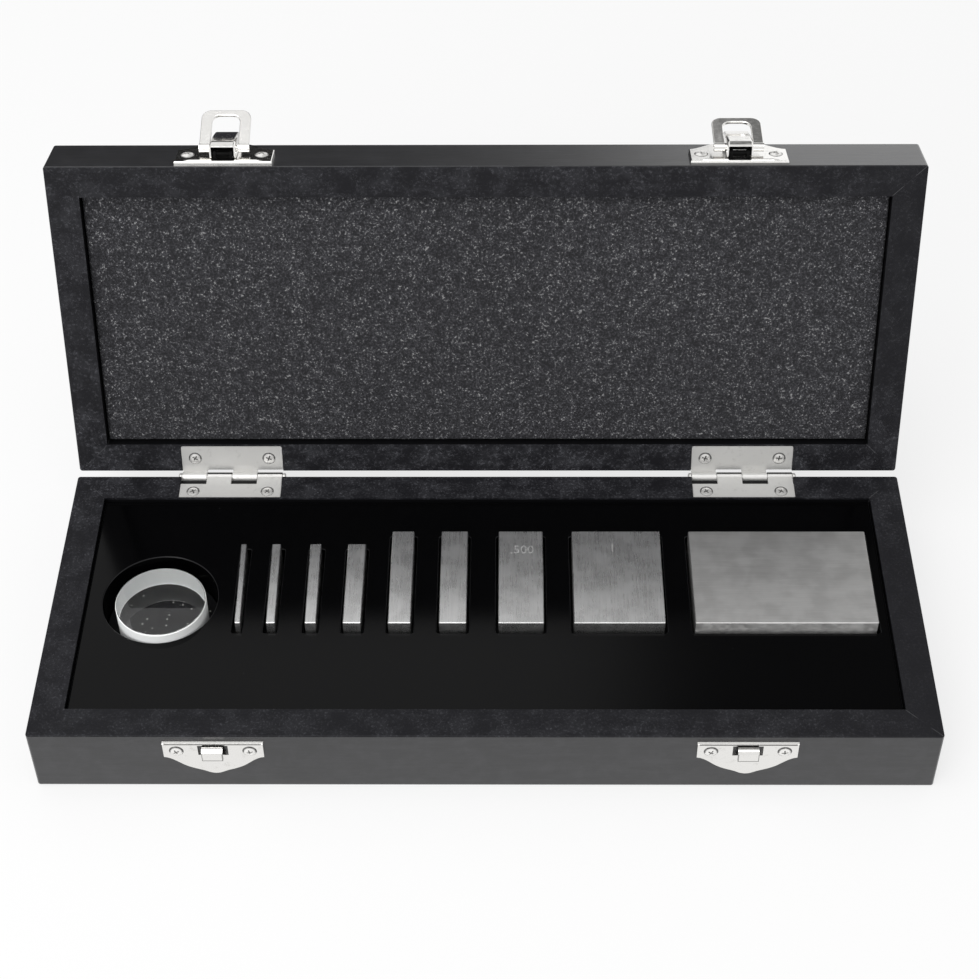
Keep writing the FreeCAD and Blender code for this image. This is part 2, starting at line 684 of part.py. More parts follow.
def optical_flat():
    """Return the glass optical flat, its two rims chamfered."""
    disc = Part.makeCylinder(FLAT_RADIUS, FLAT_HEIGHT, Vector(FLAT_CENTRE[0], FLAT_CENTRE[1], FLAT_FLOOR))
    rims = edges_where(disc, lambda p: near(p.z, FLAT_FLOOR) or near(p.z, FLAT_TOP))
    return disc.makeChamfer(FLAT_CHAMFER, rims)


def lid_foam():
    """Return the foam block that lines the lid, set back from its rim."""
    x = HALF_WIDTH - RAIL - FOAM_PLAY
    y = HALF_DEPTH - RAIL - FOAM_PLAY
    low = LID_BOTTOM + FOAM_DROP
    foam = span_box((-x, x), (-y, y), (low, LID_BOTTOM + LID_HEIGHT - BOARD))
    return foam.makeFillet(FOAM_EDGE_ROUND, edges_where(foam, lambda p: near(p.z, low)))


# --- Assembly ---------------------------------------------------------------------------------------
def base_pieces():
    """Return every piece that belongs to the base, by node name."""
    hinge_fixings = []
    strike_fixings = []
    for _, centre_x in HINGE_X:
        hinge_fixings += hinge_screws(centre_x, lid=False)
    for _, centre_x in LATCH_X:
        strike_fixings += strike_screws(centre_x)
    cutters = hinge_mortises(lid=False) + hinge_fixings + strike_fixings
    rails = mitred_rails(0.0, BASE_HEIGHT, False, cutters)
    nodes = {"base_" + name: rail for name, rail in rails.items()}
    nodes["base_bottom_board"] = board_box(0.0, BASE_HEIGHT, False, BOARD_PLAY)
    nodes["insert"] = insert()
    nodes["flat_pad"] = flat_pad()
    nodes["optical_flat"] = optical_flat()
    for name, inches, length, centre_x, turn in BLOCKS:
        nodes[name] = gauge_block(inches * INCH, length, centre_x, turn)
    for side, centre_x in HINGE_X:
        nodes[side + "_hinge_base_leaf"] = hinge_leaf(centre_x, lid=False)
        nodes[side + "_hinge_pin"] = hinge_pin(centre_x)
    for side, centre_x in LATCH_X:
        nodes[side + "_strike_plate"] = strike_plate(centre_x)
    nodes["base_hinge_screws"] = Part.makeCompound(hinge_fixings)
    nodes["strike_screws"] = Part.makeCompound(strike_fixings)
    return nodes


def lid_pieces():
    """Return every piece that belongs to the lid, swung open, by node name."""
    hinge_fixings = []
    latch_fixings = []
    for _, centre_x in HINGE_X:
        hinge_fixings += hinge_screws(centre_x, lid=True)
    for _, centre_x in LATCH_X:
        latch_fixings += latch_screws(centre_x)
    cutters = hinge_mortises(lid=True) + hinge_fixings + latch_fixings
    rails = mitred_rails(LID_BOTTOM, LID_HEIGHT, True, cutters)
    nodes = {"lid_" + name: opened(rail) for name, rail in rails.items()}
    nodes["lid_top_board"] = opened(board_box(LID_BOTTOM, LID_HEIGHT, True, BOARD_PLAY))
    nodes["lid_foam"] = opened(lid_foam())
    for side, centre_x in HINGE_X:
        nodes[side + "_hinge_lid_leaf"] = opened(hinge_leaf(centre_x, lid=True))
    for side, centre_x in LATCH_X:
        nodes[side + "_latch_plate"] = latch_plate(centre_x)
        nodes[side + "_lever_pin"] = latch_pin(centre_x, LEVER_PIN_AT, LEVER_HALF + KNUCKLE_GAP / 2)
    nodes["lid_hinge_screws"] = opened(Part.makeCompound(hinge_fixings))
    nodes["latch_plate_screws"] = opened(Part.makeCompound(latch_fixings))
    return nodes


def latch_pieces():
    """Return the moving pieces of both latches, by node name."""
    nodes = {}
    for side, centre_x in LATCH_X:
        nodes[side + "_latch_lever"] = latch_lever(centre_x)
        nodes[side + "_loop_pin"] = latch_pin(centre_x, LOOP_PIN_AT, LOOP_HALF - KNUCKLE_GAP / 2)
        nodes[side + "_latch_loop"] = latch_loop(centre_x, LOOP_LEAN_DEG[side])
    return nodes


def main():
    """Write one STEP file for each node."""
    os.makedirs("parts", exist_ok=True)
    nodes = {**base_pieces(), **lid_pieces(), **latch_pieces()}
    for name, shape in nodes.items():
        shape.exportStep(os.path.join("parts", name + ".step"))
        print(name, "valid" if shape.isValid() else "NOT VALID", len(shape.Solids), round(shape.Volume, 2))


main()
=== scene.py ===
"""Looks of a cased gauge block set: black wooden case, foam, steel blocks, glass flat, nickel fittings."""
import json
import logging
import math
import random
from dataclasses import dataclass
from enum import Enum
from typing import Any, Callable, Iterable, Union

import bmesh
import bpy
from mathutils import Matrix, Vector, noise


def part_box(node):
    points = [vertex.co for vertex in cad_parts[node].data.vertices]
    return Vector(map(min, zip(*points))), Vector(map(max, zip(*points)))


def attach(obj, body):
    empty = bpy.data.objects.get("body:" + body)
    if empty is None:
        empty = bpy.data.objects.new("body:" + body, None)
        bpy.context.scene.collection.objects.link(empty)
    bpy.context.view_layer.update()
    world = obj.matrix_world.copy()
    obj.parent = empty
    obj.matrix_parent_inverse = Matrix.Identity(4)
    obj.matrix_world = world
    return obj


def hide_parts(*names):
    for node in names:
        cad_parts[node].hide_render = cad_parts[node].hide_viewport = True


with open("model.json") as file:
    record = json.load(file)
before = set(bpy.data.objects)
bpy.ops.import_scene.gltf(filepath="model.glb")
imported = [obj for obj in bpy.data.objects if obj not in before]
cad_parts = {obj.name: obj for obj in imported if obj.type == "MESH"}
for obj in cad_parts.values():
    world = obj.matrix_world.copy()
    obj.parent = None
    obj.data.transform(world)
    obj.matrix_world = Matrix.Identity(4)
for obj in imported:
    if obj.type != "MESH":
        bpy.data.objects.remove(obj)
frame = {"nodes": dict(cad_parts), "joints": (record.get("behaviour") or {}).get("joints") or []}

log = logging.getLogger("gauge_block_set")
MM = 0.001
WELD = 0.001 * MM
SIDES = ("left", "right")
Pair = tuple[float, float]
Colour = tuple[float, float, float]
Material = bpy.types.Material
NodeSocket = bpy.types.NodeSocket
Object = bpy.types.Object
BMesh = bmesh.types.BMesh


# --- Shader maths ---
def math_method(operation: str, reflected: bool = False) -> Callable[["Signal", "Number"], "Signal"]:
    """Return a method that adds one Math node, with the other value first if it is reflected."""
    def method(self: "Signal", other: "Number" = 0.0) -> "Signal":
        """Return the node's result."""
        first, second = (other, self) if reflected else (self, other)
        sockets = {"Value": first, "Value_001": second}
        node = self.paint.node("ShaderNodeMath", {"operation": operation}, sockets)
        return Signal(self.paint, node.outputs[0])

    return method


class Signal:
    """A number that varies over a surface and can be used in sums."""

    def __init__(self, paint: "Paint", socket: NodeSocket) -> None:
        """Keep the socket and the tree that it belongs to."""
        self.paint = paint
        self.socket = socket

    __add__ = __radd__ = math_method("ADD")
    __sub__ = math_method("SUBTRACT")
    __rsub__ = math_method("SUBTRACT", reflected=True)
    __mul__ = __rmul__ = math_method("MULTIPLY")
    __truediv__ = math_method("DIVIDE")
    __pow__ = math_method("POWER")
    __gt__ = math_method("GREATER_THAN")
    __lt__ = math_method("LESS_THAN")
    __abs__ = math_method("ABSOLUTE")
    larger = math_method("MAXIMUM")
    smaller = math_method("MINIMUM")

    def between(self, low: float, high: float) -> "Signal":
        """Return 0 below low, 1 above high and a smooth rise between them."""
        sockets = {"Value": self, "From Min": low, "From Max": high}
        node = self.paint.node("ShaderNodeMapRange", {"interpolation_type": "SMOOTHSTEP"}, sockets)
        return Signal(self.paint, node.outputs["Result"])


Number = Union[float, Signal]


class Paint:
    """One node tree in the making."""

    def __init__(self, name: str, world: "bpy.types.World | None" = None) -> None:
        """Start an empty tree, in a new material or in the world given."""
        self.owner = world or bpy.data.materials.new(name)
        self.owner.use_nodes = True
        self.tree = self.owner.node_tree
        self.tree.nodes.clear()

    def node(self, kind: str, settings: dict[str, Any], sockets: dict[str, Any]) -> bpy.types.Node:
        """Add a node.

        Args:
            kind: the node's type.
            settings: its properties, set first.
            sockets: input identifier or name to a value or a link.

        Returns:
            The node.
        """
        node = self.tree.nodes.new(kind)
        for key, value in settings.items():
            setattr(node, key, value)
        for key, value in sockets.items():
            named = [socket for socket in node.inputs if key in (socket.identifier, socket.name)]
            if isinstance(value, Signal):
                value = value.socket
            if isinstance(value, NodeSocket):
                self.tree.links.new(value, named[0])
            else:
                named[0].default_value = value
        return node

    def place(self, shift: Colour = (0, 0, 0), stretch: Colour = (1, 1, 1)) -> NodeSocket:
        """Return object coordinates in metres, shifted and stretched."""
        where = self.node("ShaderNodeTexCoord", {}, {})
        sockets = {"Vector": where.outputs["Object"], "Location": shift, "Scale": stretch}
        return self.node("ShaderNodeMapping", {}, sockets).outputs["Vector"]

    def parts(self, vector: NodeSocket) -> tuple[Signal, Signal, Signal]:
        """Return a vector's three numbers."""
        node = self.node("ShaderNodeSeparateXYZ", {}, {"Vector": vector})
        return tuple(Signal(self, node.outputs[index]) for index in range(3))

    def noise(self, vector: NodeSocket, size: float, detail: float = 2.0, rough: float = 0.5,
              bend: float = 0.0) -> Signal:
        """Return cloudy noise.

        Args:
            vector: where it is read.
            size: the clouds' size in metres.
            detail: octaves.
            rough: how much the finer octaves count.
            bend: distortion.

        Returns:
            A number about 0.5.
        """
        sockets = {"Vector": vector, "Scale": 1 / size, "Detail": detail}
        sockets |= {"Roughness": rough, "Distortion": bend}
        return Signal(self, self.node("ShaderNodeTexNoise", {}, sockets).outputs["Fac"])

    def cells(self, vector: NodeSocket, size: float) -> Signal:
        """Return the distance field of scattered cells of the size given, in metres."""
        sockets = {"Vector": vector, "Scale": 1 / size}
        return Signal(self, self.node("ShaderNodeTexVoronoi", {}, sockets).outputs["Distance"])

    def mix(self, mask: Number, dark: Any, light: Any) -> NodeSocket:
        """Return the blend of two colours, the second where the mask is 1."""
        sockets = {"Factor_Float": mask, "A_Color": self._rgba(dark), "B_Color": self._rgba(light)}
        node = self.node("ShaderNodeMix", {"data_type": "RGBA"}, sockets)
        return next(socket for socket in node.outputs if socket.identifier == "Result_Color")

    def _rgba(self, colour: Any) -> Any:
        """Return a colour as a socket takes it."""
        return (*colour, 1.0) if isinstance(colour, tuple) else colour

    def bump(self, height: Signal, depth: float, under: Any = None) -> NodeSocket:
        """Return a normal bent by a height.

        Args:
            height: the height, about 0 to 1.
            depth: its full depth in metres.
            under: a coarser bump's normal, if there is one.

        Returns:
            The normal.
        """
        sockets = {"Height": height, "Distance": depth, "Strength": 1.0}
        if under is not None:
            sockets["Normal"] = under
        return self.node("ShaderNodeBump", {}, sockets).outputs["Normal"]

    def shader(self, sockets: dict[str, Any]) -> NodeSocket:
        """Return a Principled BSDF with the sockets given."""
        sockets = {key: self._rgba(value) if key == "Base Color" else value for key, value in sockets.items()}
        return self.node("ShaderNodeBsdfPrincipled", {}, sockets).outputs["BSDF"]

    def finish(self, surface: NodeSocket) -> Material:
        """Send a surface to the output and return the material."""
        self.node("ShaderNodeOutputMaterial", {}, {"Surface": surface})
        return self.owner


# --- Finishes ---
class Run(Enum):
    """The axis that grain or a lapping stroke runs along."""

    X = 0
    Y = 1

    def stretch(self, ratio: float) -> Colour:
        """Return the coordinates' scales that draw a pattern out along this axis."""
        scales = [1.0, 1.0, 1.0]
        scales[self.value] = 1 / ratio
        return tuple(scales)


class Half(Enum):
    """The two halves of the case."""

    BASE = "base"
    LID = "lid"


@dataclass(frozen=True)
class Swing:
    """How the lid stands open: the hinge line and the angle from shut."""

    y: float
    z: float
    open_deg: float

    def matrix(self) -> Matrix:
        """Return the turn from shut to open."""
        pivot = Matrix.Translation((0, self.y, self.z))
        return pivot @ Matrix.Rotation(-math.radians(self.open_deg), 4, "X") @ pivot.inverted()

    def coordinates(self, paint: Paint, half: Half) -> NodeSocket:
        """Return object coordinates as they are with the lid shut."""
        if half is Half.BASE:
            return paint.place()
        centred = paint.place(shift=(0, -self.y, -self.z))
        turn = (math.radians(self.open_deg), 0, 0)
        sockets = {"Vector": centred, "Rotation": turn, "Location": (0, self.y, self.z)}
        return paint.node("ShaderNodeMapping", {}, sockets).outputs["Vector"]


@dataclass(frozen=True)
class StainedWood:
    """Close-grained black wood: varnished outside, finely scuffed on its rim and bare in its cavities; the
    rim is painted brighter towards the hinges and darker towards the right as painted light and shade.
    """

    half: Half
    run: Run
    swing: Swing
    corner: Pair
    rim_level: float
    rail: float
    dark: Colour = (0.0058, 0.0058, 0.0074)
    worn: Colour = (0.017, 0.017, 0.0195)
    bare: Colour = (0.0025, 0.0025, 0.003)
    rim_dark: Colour = (0.0052, 0.0052, 0.0070)
    rim_scuff: Colour = (0.070, 0.071, 0.080)
    seam: Colour = (0.10, 0.10, 0.105)
    skin: float = 0.8 * MM
    rim_round: float = 0.35 * MM
    rim_depth: float = 0.6 * MM
    board_depth: float = 13.0 * MM
    seam_width: float = 0.20 * MM
    drawn_out: float = 7.0
    grain_size: float = 1.6 * MM
    pore_size: float = 0.30 * MM
    mottle_size: float = 7.0 * MM
    fleck_size: float = 0.75 * MM
    seam_patch: float = 5.0 * MM
    relief: float = 0.03 * MM

    def material(self) -> Material:
        """Return the material."""
        paint = Paint(f"stained_wood_{self.half.value}_{self.run.name.lower()}")
        spot = self.swing.coordinates(paint, self.half)
        x, y, z = paint.parts(spot)
        depth = abs(z - self.rim_level)
        on_rim = 1.0 - depth.between(self.rim_round, self.rim_depth)
        within = (abs(x) < self.corner[0] - self.skin) * (abs(y) < self.corner[1] - self.skin)
        inside = within * (depth > self.rim_depth) * (depth < self.board_depth)
        scales = {"Vector": spot, "Scale": self.run.stretch(self.drawn_out)}
        drawn = paint.node("ShaderNodeMapping", {}, scales).outputs["Vector"]
        grain = paint.noise(drawn, self.grain_size, detail=4.0, rough=0.62, bend=0.4)
        pores = paint.noise(drawn, self.pore_size, detail=2.0)
        mottle = paint.noise(spot, self.mottle_size, detail=3.0, rough=0.65)
        flecks = paint.noise(spot, self.fleck_size, detail=4.0, rough=0.8).between(0.50, 0.72)
        wear = grain.between(0.40, 0.70) * 0.40 + mottle.between(0.40, 0.70) * 0.60
        outside = paint.mix(inside, paint.mix(wear, self.dark, self.worn), self.bare)
        # The rim's scuff pattern is real. Its amount rises towards the hinges as painted light and falls
        # towards the right as painted shade. It is also higher on the lid than on the base.
        least = 1.12 if self.half is Half.LID else 0.85
        shade_to_right = x.between(0.75 * self.corner[0], self.corner[0])
        light_to_hinges = y.between(0.0, self.corner[1])
        scuff_amount_and_light = least + light_to_hinges * 0.75 - shade_to_right * 0.65
        scuffed = (flecks * 0.75 + wear * 0.18) * mottle.between(0.26, 0.60) * scuff_amount_and_light
        off_mitre = abs((abs(x) - self.corner[0]) - (abs(y) - self.corner[1]))
        on_rail = abs(x) > self.corner[0] - self.rail
        worn_seam = paint.noise(spot, self.seam_patch, detail=1.0).between(0.42, 0.62)
        at_seam = (1.0 - off_mitre.between(0.0, self.seam_width)) * worn_seam * on_rail
        tint = paint.mix(on_rim, outside, paint.mix(scuffed, self.rim_dark, self.rim_scuff))
        relief = paint.bump(pores * 0.5 + grain, self.relief)
        return paint.finish(paint.shader({
            "Base Color": paint.mix(at_seam * 0.6, tint, self.seam),
            "Roughness": 0.36 + on_rim * 0.16 + mottle * 0.10,
            "Specular IOR Level": 0.17,
            "Coat Weight": (1.0 - on_rim.larger(inside)) * 0.92,
            "Coat Roughness": 0.24,
            "Normal": paint.bump(flecks * on_rim, self.relief, relief),
        }))


@dataclass(frozen=True)
class GlossPaint:
    """Deep black paint on the insert, with a little dust and a worn edge round each opening, lighter partly
    as wear and partly as a painted edge highlight.
    """

    top: float
    tint: Colour = (0.0008, 0.0008, 0.0010)
    dust: Colour = (0.035, 0.035, 0.037)
    wear_and_highlight: Colour = (0.030, 0.030, 0.032)
    cloud_size: float = 30.0 * MM
    fine_size: float = 0.7 * MM
    dust_pitch: float = 7.5 * MM
    relief: float = 0.003 * MM

    def material(self) -> Material:
        """Return the material."""
        paint = Paint("gloss_insert")
        spot = paint.place()
        _, _, z = paint.parts(spot)
        depth = self.top - z
        cloud = paint.noise(spot, self.cloud_size, detail=2.0)
        fine = paint.noise(spot, self.fine_size, detail=2.0)
        speck = 1.0 - paint.cells(spot, self.dust_pitch).between(0.010, 0.024)
        # A thin band just under the top face round each opening: worn paint, painted lighter partly as an
        # edge highlight, and rougher.
        rim = depth.between(0.02 * MM, 0.08 * MM) * (1.0 - depth.between(0.20 * MM, 0.30 * MM))
        tint = paint.mix(rim * 0.35, paint.mix(speck * 0.8, self.tint, self.dust), self.wear_and_highlight)
        return paint.finish(paint.shader({
            "Base Color": tint,
            "Roughness": 0.10 + cloud * 0.05 + rim * 0.25,
            "Specular IOR Level": 0.14,
            "Normal": paint.bump(fine, self.relief),
        }))


@dataclass(frozen=True)
class OpenCellFoam:
    """Dark open-cell foam whose cell walls catch the light."""

    pore: Colour = (0.006, 0.006, 0.008)
    body: Colour = (0.040, 0.040, 0.046)
    glint: Colour = (0.34, 0.34, 0.34)
    cell_size: float = 0.95 * MM
    clump_size: float = 2.2 * MM
    fuzz_size: float = 0.62 * MM
    drift_size: float = 26.0 * MM
    relief: float = 0.40 * MM

    def material(self) -> Material:
        """Return the material."""
        paint = Paint("open_cell_foam")
        spot = paint.place()
        cells = paint.cells(spot, self.cell_size)
        clumps = paint.noise(spot, self.clump_size, detail=3.0, rough=0.7)
        fuzz = paint.noise(spot, self.fuzz_size, detail=2.0, rough=0.75)
        drift = paint.noise(spot, self.drift_size, detail=2.0)
        solid = (fuzz * 0.65 + clumps * 0.35).between(0.42, 0.60)
        spark = fuzz.between(0.57, 0.68) * clumps.between(0.42, 0.60)
        walls = paint.mix(solid * (0.70 + drift * 0.6), self.pore, self.body)
        return paint.finish(paint.shader({
            "Base Color": paint.mix(spark * 0.8, walls, self.glint),
            "Roughness": 0.9 - spark * 0.35,
            "Normal": paint.bump(fuzz + clumps * 0.6 + cells * 0.5, self.relief),
        }))


@dataclass(frozen=True)
class Felt:
    """Thin black felt with lint on it."""

    tint: Colour = (0.006, 0.006, 0.007)
    lint: Colour = (0.34, 0.35, 0.32)
    fibre_size: float = 0.35 * MM
    lint_pitch: float = 2.4 * MM
    relief: float = 0.12 * MM

    def material(self) -> Material:
        """Return the material."""
        paint = Paint("black_felt")
        spot = paint.place()
        fibre = paint.noise(spot, self.fibre_size, detail=4.0, rough=0.7, bend=1.2)
        speck = 1.0 - paint.cells(spot, self.lint_pitch).between(0.08, 0.16)
        nap = paint.mix(fibre.between(0.45, 0.7) * 0.03, self.tint, self.lint)
        return paint.finish(paint.shader({
            "Base Color": paint.mix(speck * 0.8, nap, self.lint),
            "Roughness": 0.95,
            "Specular IOR Level": 0.1,
            "Normal": paint.bump(fibre, self.relief),
        }))


@dataclass(frozen=True)
class LappedSteel:
    """Hardened steel, ground and lapped, with fine strokes along one axis and a scuffed front end."""

    run: Run
    end: float
    scuffed_end: float = 0.065
    depth: float = 1.0
    rough: float = 0.22
    pale: Colour = (0.95, 0.95, 0.945)
    dim: Colour = (0.58, 0.58, 0.575)
    drawn_out: float = 30.0
    stroke_size: float = 0.34 * MM
    hair_size: float = 0.10 * MM
    cloud_size: float = 6.0 * MM
    smear_size: float = 1.2 * MM
    relief: float = 0.003 * MM

    def material(self) -> Material:
        """Return the material."""
        paint = Paint(f"lapped_steel_{self.run.name.lower()}")
        spot = paint.place()
        _, y, _ = paint.parts(spot)
        drawn = paint.place(stretch=self.run.stretch(self.drawn_out))
        stroke = paint.noise(drawn, self.stroke_size, detail=3.0, rough=0.65)
        hair = paint.noise(drawn, self.hair_size, detail=1.0)
        cloud = paint.noise(spot, self.cloud_size, detail=2.0)
        smear = paint.noise(spot, self.smear_size, detail=3.0, rough=0.7).between(0.35, 0.7)
        streak = (stroke * 0.7 + hair * 0.3).between(0.34, 0.66)
        tint = paint.mix(streak * 0.22 + cloud.between(0.35, 0.65) * 0.30 + 0.3, self.dim, self.pale)
        return paint.finish(paint.shader({
            "Base Color": tint,
            "Metallic": 1.0 - (y < self.end) * self.scuffed_end * (0.6 + smear * 0.8),
            "Roughness": self.rough + stroke * 0.08 + cloud * 0.04,
            "Normal": paint.bump(stroke, self.relief * self.depth),
        }))


@dataclass(frozen=True)
class EtchedMark:
    """A faint pale etch on steel."""

    pale: Colour = (0.62, 0.62, 0.615)
    worn: Colour = (0.40, 0.40, 0.395)
    patch_size: float = 0.8 * MM

    def material(self) -> Material:
        """Return the material."""
        paint = Paint("etched_steel")
        patchy = paint.noise(paint.place(), self.patch_size, detail=3.0, rough=0.7)
        return paint.finish(paint.shader({
            "Base Color": paint.mix(patchy.between(0.35, 0.65), self.worn, self.pale),
            "Metallic": 0.80,
            "Roughness": 0.38 + patchy * 0.1,
        }))


class PaintedShade:
    """Where shade is painted dark on a plate, and where its sheet is sheared bare."""

    def mask(self, paint: Paint, spot: NodeSocket) -> Signal:
        """Return how dark the painted shade is, 0 to 1, from coordinates in the frame that it is told in."""
        raise NotImplementedError

    def bare(self, paint: Paint, spot: NodeSocket) -> Number:
        """Return 1 where the sheet is sheared, matt and pale, which is nowhere unless a kind says so."""
        return 0.0


@dataclass(frozen=True)
class LatchChannel(PaintedShade):
    """Painted shade in the hollow under both levers, in the shut lid's frame."""

    middle_x: float
    spread_x: float
    half_width: float
    front: float
    nose: float
    top: float
    wall: float = 0.45 * MM
    plate_out: float = 1.05 * MM
    nose_out: float = 4.75 * MM
    crown_up: float = 2.6 * MM
    crown_out: float = 5.45 * MM
    tip_down: float = 0.25 * MM
    tip_out: float = 3.9 * MM

    def mask(self, paint: Paint, spot: NodeSocket) -> Signal:
        """Return 1 inside the hollow, where the shade is painted."""
        x, y, z = paint.parts(spot)
        out = self.front - y
        crown, tip = self.nose + self.crown_up, self.top - self.tip_down
        across = abs(abs(x - self.middle_x) - self.spread_x) < self.half_width - self.wall
        rise = (self.crown_out - self.nose_out) / self.crown_up
        fall = (self.tip_out - self.crown_out) / (tip - crown)
        roof = ((z - self.nose) * rise + self.nose_out).smaller((z - crown) * fall + self.crown_out)
        return across * (out > self.plate_out) * (out < roof) * (z < tip)


@dataclass(frozen=True)
class KnuckleJoint(PaintedShade):
    """Where the hinges' base knuckles pass under the lid's leaves: painted shade in the gap."""

    axis: Pair
    radius: float
    reach: float = 0.62
    blur: float = 0.06

    def mask(self, paint: Paint, spot: NodeSocket) -> Signal:
        """Return 1 on the knuckles' upper back, where the shade is painted."""
        _, y, z = paint.parts(spot)
        rise = ((y - self.axis[0]) + (z - self.axis[1])) * math.sqrt(0.5)
        return rise.between(self.reach * self.radius, (self.reach + self.blur) * self.radius)


@dataclass(frozen=True)
class StrikeShade(PaintedShade):
    """Painted shade on both strikes: behind the hook, round its edges and along the plate's top edge."""

    middles: Pair
    top: float
    front: float
    hook_half: float = 2.8 * MM
    hook_end: float = 4.2 * MM
    window_half: float = 4.05 * MM
    window_top: float = 0.68 * MM
    window_bottom: float = 4.45 * MM
    gap: float = 1.35 * MM
    lip: float = 0.08 * MM
    sheet: float = 0.8 * MM
    line: float = 0.22 * MM
    groove_half: float = 13.0 * MM
    groove: float = 0.30 * MM
    edge: float = 0.02 * MM

    def mask(self, paint: Paint, spot: NodeSocket) -> Signal:
        """Return the painted shade on the hook's outline, the hollow behind it and the groove."""
        x, y, z = paint.parts(spot)
        out = self.front - y
        drop = self.top - z
        middle, spread = sum(self.middles) / 2, (self.middles[1] - self.middles[0]) / 2
        beside = abs(abs(x - middle) - spread)
        side = (beside > self.hook_half - self.line) * 0.6
        end = (drop > self.hook_end - self.line) * 0.8
        hook = (out > 1.5 * self.sheet) * side.larger(end) * (drop > self.window_top + self.sheet)
        inside = (beside < self.window_half) * (out < self.gap) * (drop > self.window_top - self.lip)
        hollow = inside * (drop < self.window_bottom)
        groove = (drop > self.edge) * (drop < self.groove) * (beside < self.groove_half)
        return hook.larger(hollow).larger(groove * 0.8)

    def bare(self, paint: Paint, spot: NodeSocket) -> Signal:
        """Return 1 on the sheared top edge."""
        _, _, z = paint.parts(spot)
        return (self.top - z) < self.edge


@dataclass(frozen=True)
class NickelPlate:
    """Nickel on stamped sheet, bright or satin, with faint waves, rubs and tarnish."""

    name: str
    rough: float
    wave: float
    metal: float = 1.0
    clean: Colour = (0.80, 0.79, 0.77)
    dull: Colour = (0.60, 0.59, 0.565)
    shade_tint: Colour = (0.010, 0.010, 0.010)
    swell_size: float = 4.0 * MM
    rub_size: float = 0.5 * MM
    stain_size: float = 2.2 * MM
    rub_depth: float = 0.004 * MM

    def material(self, painted_shade: PaintedShade | None = None, swing: Swing | None = None) -> Material:
        """Return the material.

        Args:
            painted_shade: where shade is painted dark on the plate, and where it is sheared, if anywhere.
            swing: the lid's swing, where the shade is told in the shut lid's frame.

        Returns:
            The material.
        """
        paint = Paint(self.name)
        spot = paint.place()
        swell = paint.noise(spot, self.swell_size, detail=2.0)
        rubs = paint.noise(paint.place(stretch=(0.25, 1, 1)), self.rub_size, detail=3.0, rough=0.65)
        stain = paint.noise(spot, self.stain_size, detail=4.0, rough=0.6).between(0.55, 0.75)
        relief = paint.bump(swell, self.wave * MM)
        relief = paint.bump(rubs, self.rub_depth, relief)
        metal = self.metal
        tint = paint.mix(stain * 0.5, self.clean, self.dull)
        rough = self.rough + rubs.between(0.5, 0.7) * 0.08 + stain * 0.08
        if painted_shade is not None:
            # Painted shade: the plate turns dark and rougher where the mask says.
            plate_shade = painted_shade.mask(paint, spot if swing is None else swing.coordinates(paint, Half.LID))
            tint = paint.mix(plate_shade, tint, self.shade_tint)
            rough = rough + plate_shade * 0.5
            metal = metal - painted_shade.bare(paint, spot) * 0.9
        return paint.finish(paint.shader({
            "Base Color": tint, "Metallic": metal, "Roughness": rough, "Normal": relief,
        }))


@dataclass(frozen=True)
class ScrewPlate:
    """Nickel on the screws, with painted shade where their meshes mark it in an attribute."""

    name: str
    grime: str
    metal: float = 0.55
    clean: Colour = (0.80, 0.79, 0.77)
    painted_shade: Colour = (0.020, 0.020, 0.020)
    rub_size: float = 0.45 * MM
    relief: float = 0.012 * MM

    def material(self) -> Material:
        """Return the material."""
        paint = Paint(self.name)
        carried = paint.node("ShaderNodeAttribute", {"attribute_name": self.grime}, {})
        screw_shade = Signal(paint, carried.outputs["Fac"])
        rubs = paint.noise(paint.place(), self.rub_size, detail=3.0, rough=0.65)
        # The screws' colour is painted dark as shade from the attribute.
        return paint.finish(paint.shader({
            "Base Color": paint.mix(screw_shade * (0.55 + rubs * 0.7), self.clean, self.painted_shade),
            "Metallic": self.metal,
            "Roughness": 0.20 + screw_shade * 0.3 + rubs.between(0.5, 0.7) * 0.08,
            "Normal": paint.bump(rubs, self.relief),
        }))


@dataclass(frozen=True)
class GroundGlass:
    """Clear glass faces and a ground white wall, on one disc."""

    centre: Pair
    radius: float
    wall: Colour = (0.965, 0.98, 0.975)
    wall_skin: float = 0.20 * MM
    grit_size: float = 0.25 * MM
    relief: float = 0.02 * MM
    index: float = 1.517

    def material(self) -> Material:
        """Return the material."""
        paint = Paint("optical_glass")
        x, y, _ = paint.parts(paint.place(shift=(-self.centre[0], -self.centre[1], 0)))
        reach = (x * x + y * y) ** 0.5
        on_wall = reach > self.radius - self.wall_skin
        grit = paint.noise(paint.place(), self.grit_size, detail=2.0)
        clear = paint.shader({
            "Base Color": (1.0, 1.0, 1.0),
            "Roughness": 0.0,
            "IOR": self.index,
            "Transmission Weight": 1.0,
        })
        ground = paint.shader({
            "Base Color": self.wall,
            "Roughness": 0.55 + grit * 0.2,
            "Normal": paint.bump(grit, self.relief),
        })
        sockets = {"Fac": on_wall, "Shader": clear, "Shader_001": ground}
        return paint.finish(paint.node("ShaderNodeMixShader", {}, sockets).outputs[0])


# --- Helpers for pieces ---
def added(name: str, data: Any) -> Object:
    """Put an object with the data given in the scene and return it."""
    made = bpy.data.objects.new(name, data)
    bpy.context.scene.collection.objects.link(made)
    return made


def solid(name: str, shape: BMesh) -> Object:
    """Turn a finished bmesh, freed here, into an object in the scene."""
    mesh = bpy.data.meshes.new(name)
    shape.to_mesh(mesh)
    shape.free()
    return added(name, mesh)


def flattened(made: Object) -> bpy.types.Mesh:
    """Return an object's mesh with its modifiers applied."""
    return bpy.data.meshes.new_from_object(made.evaluated_get(bpy.context.evaluated_depsgraph_get()))


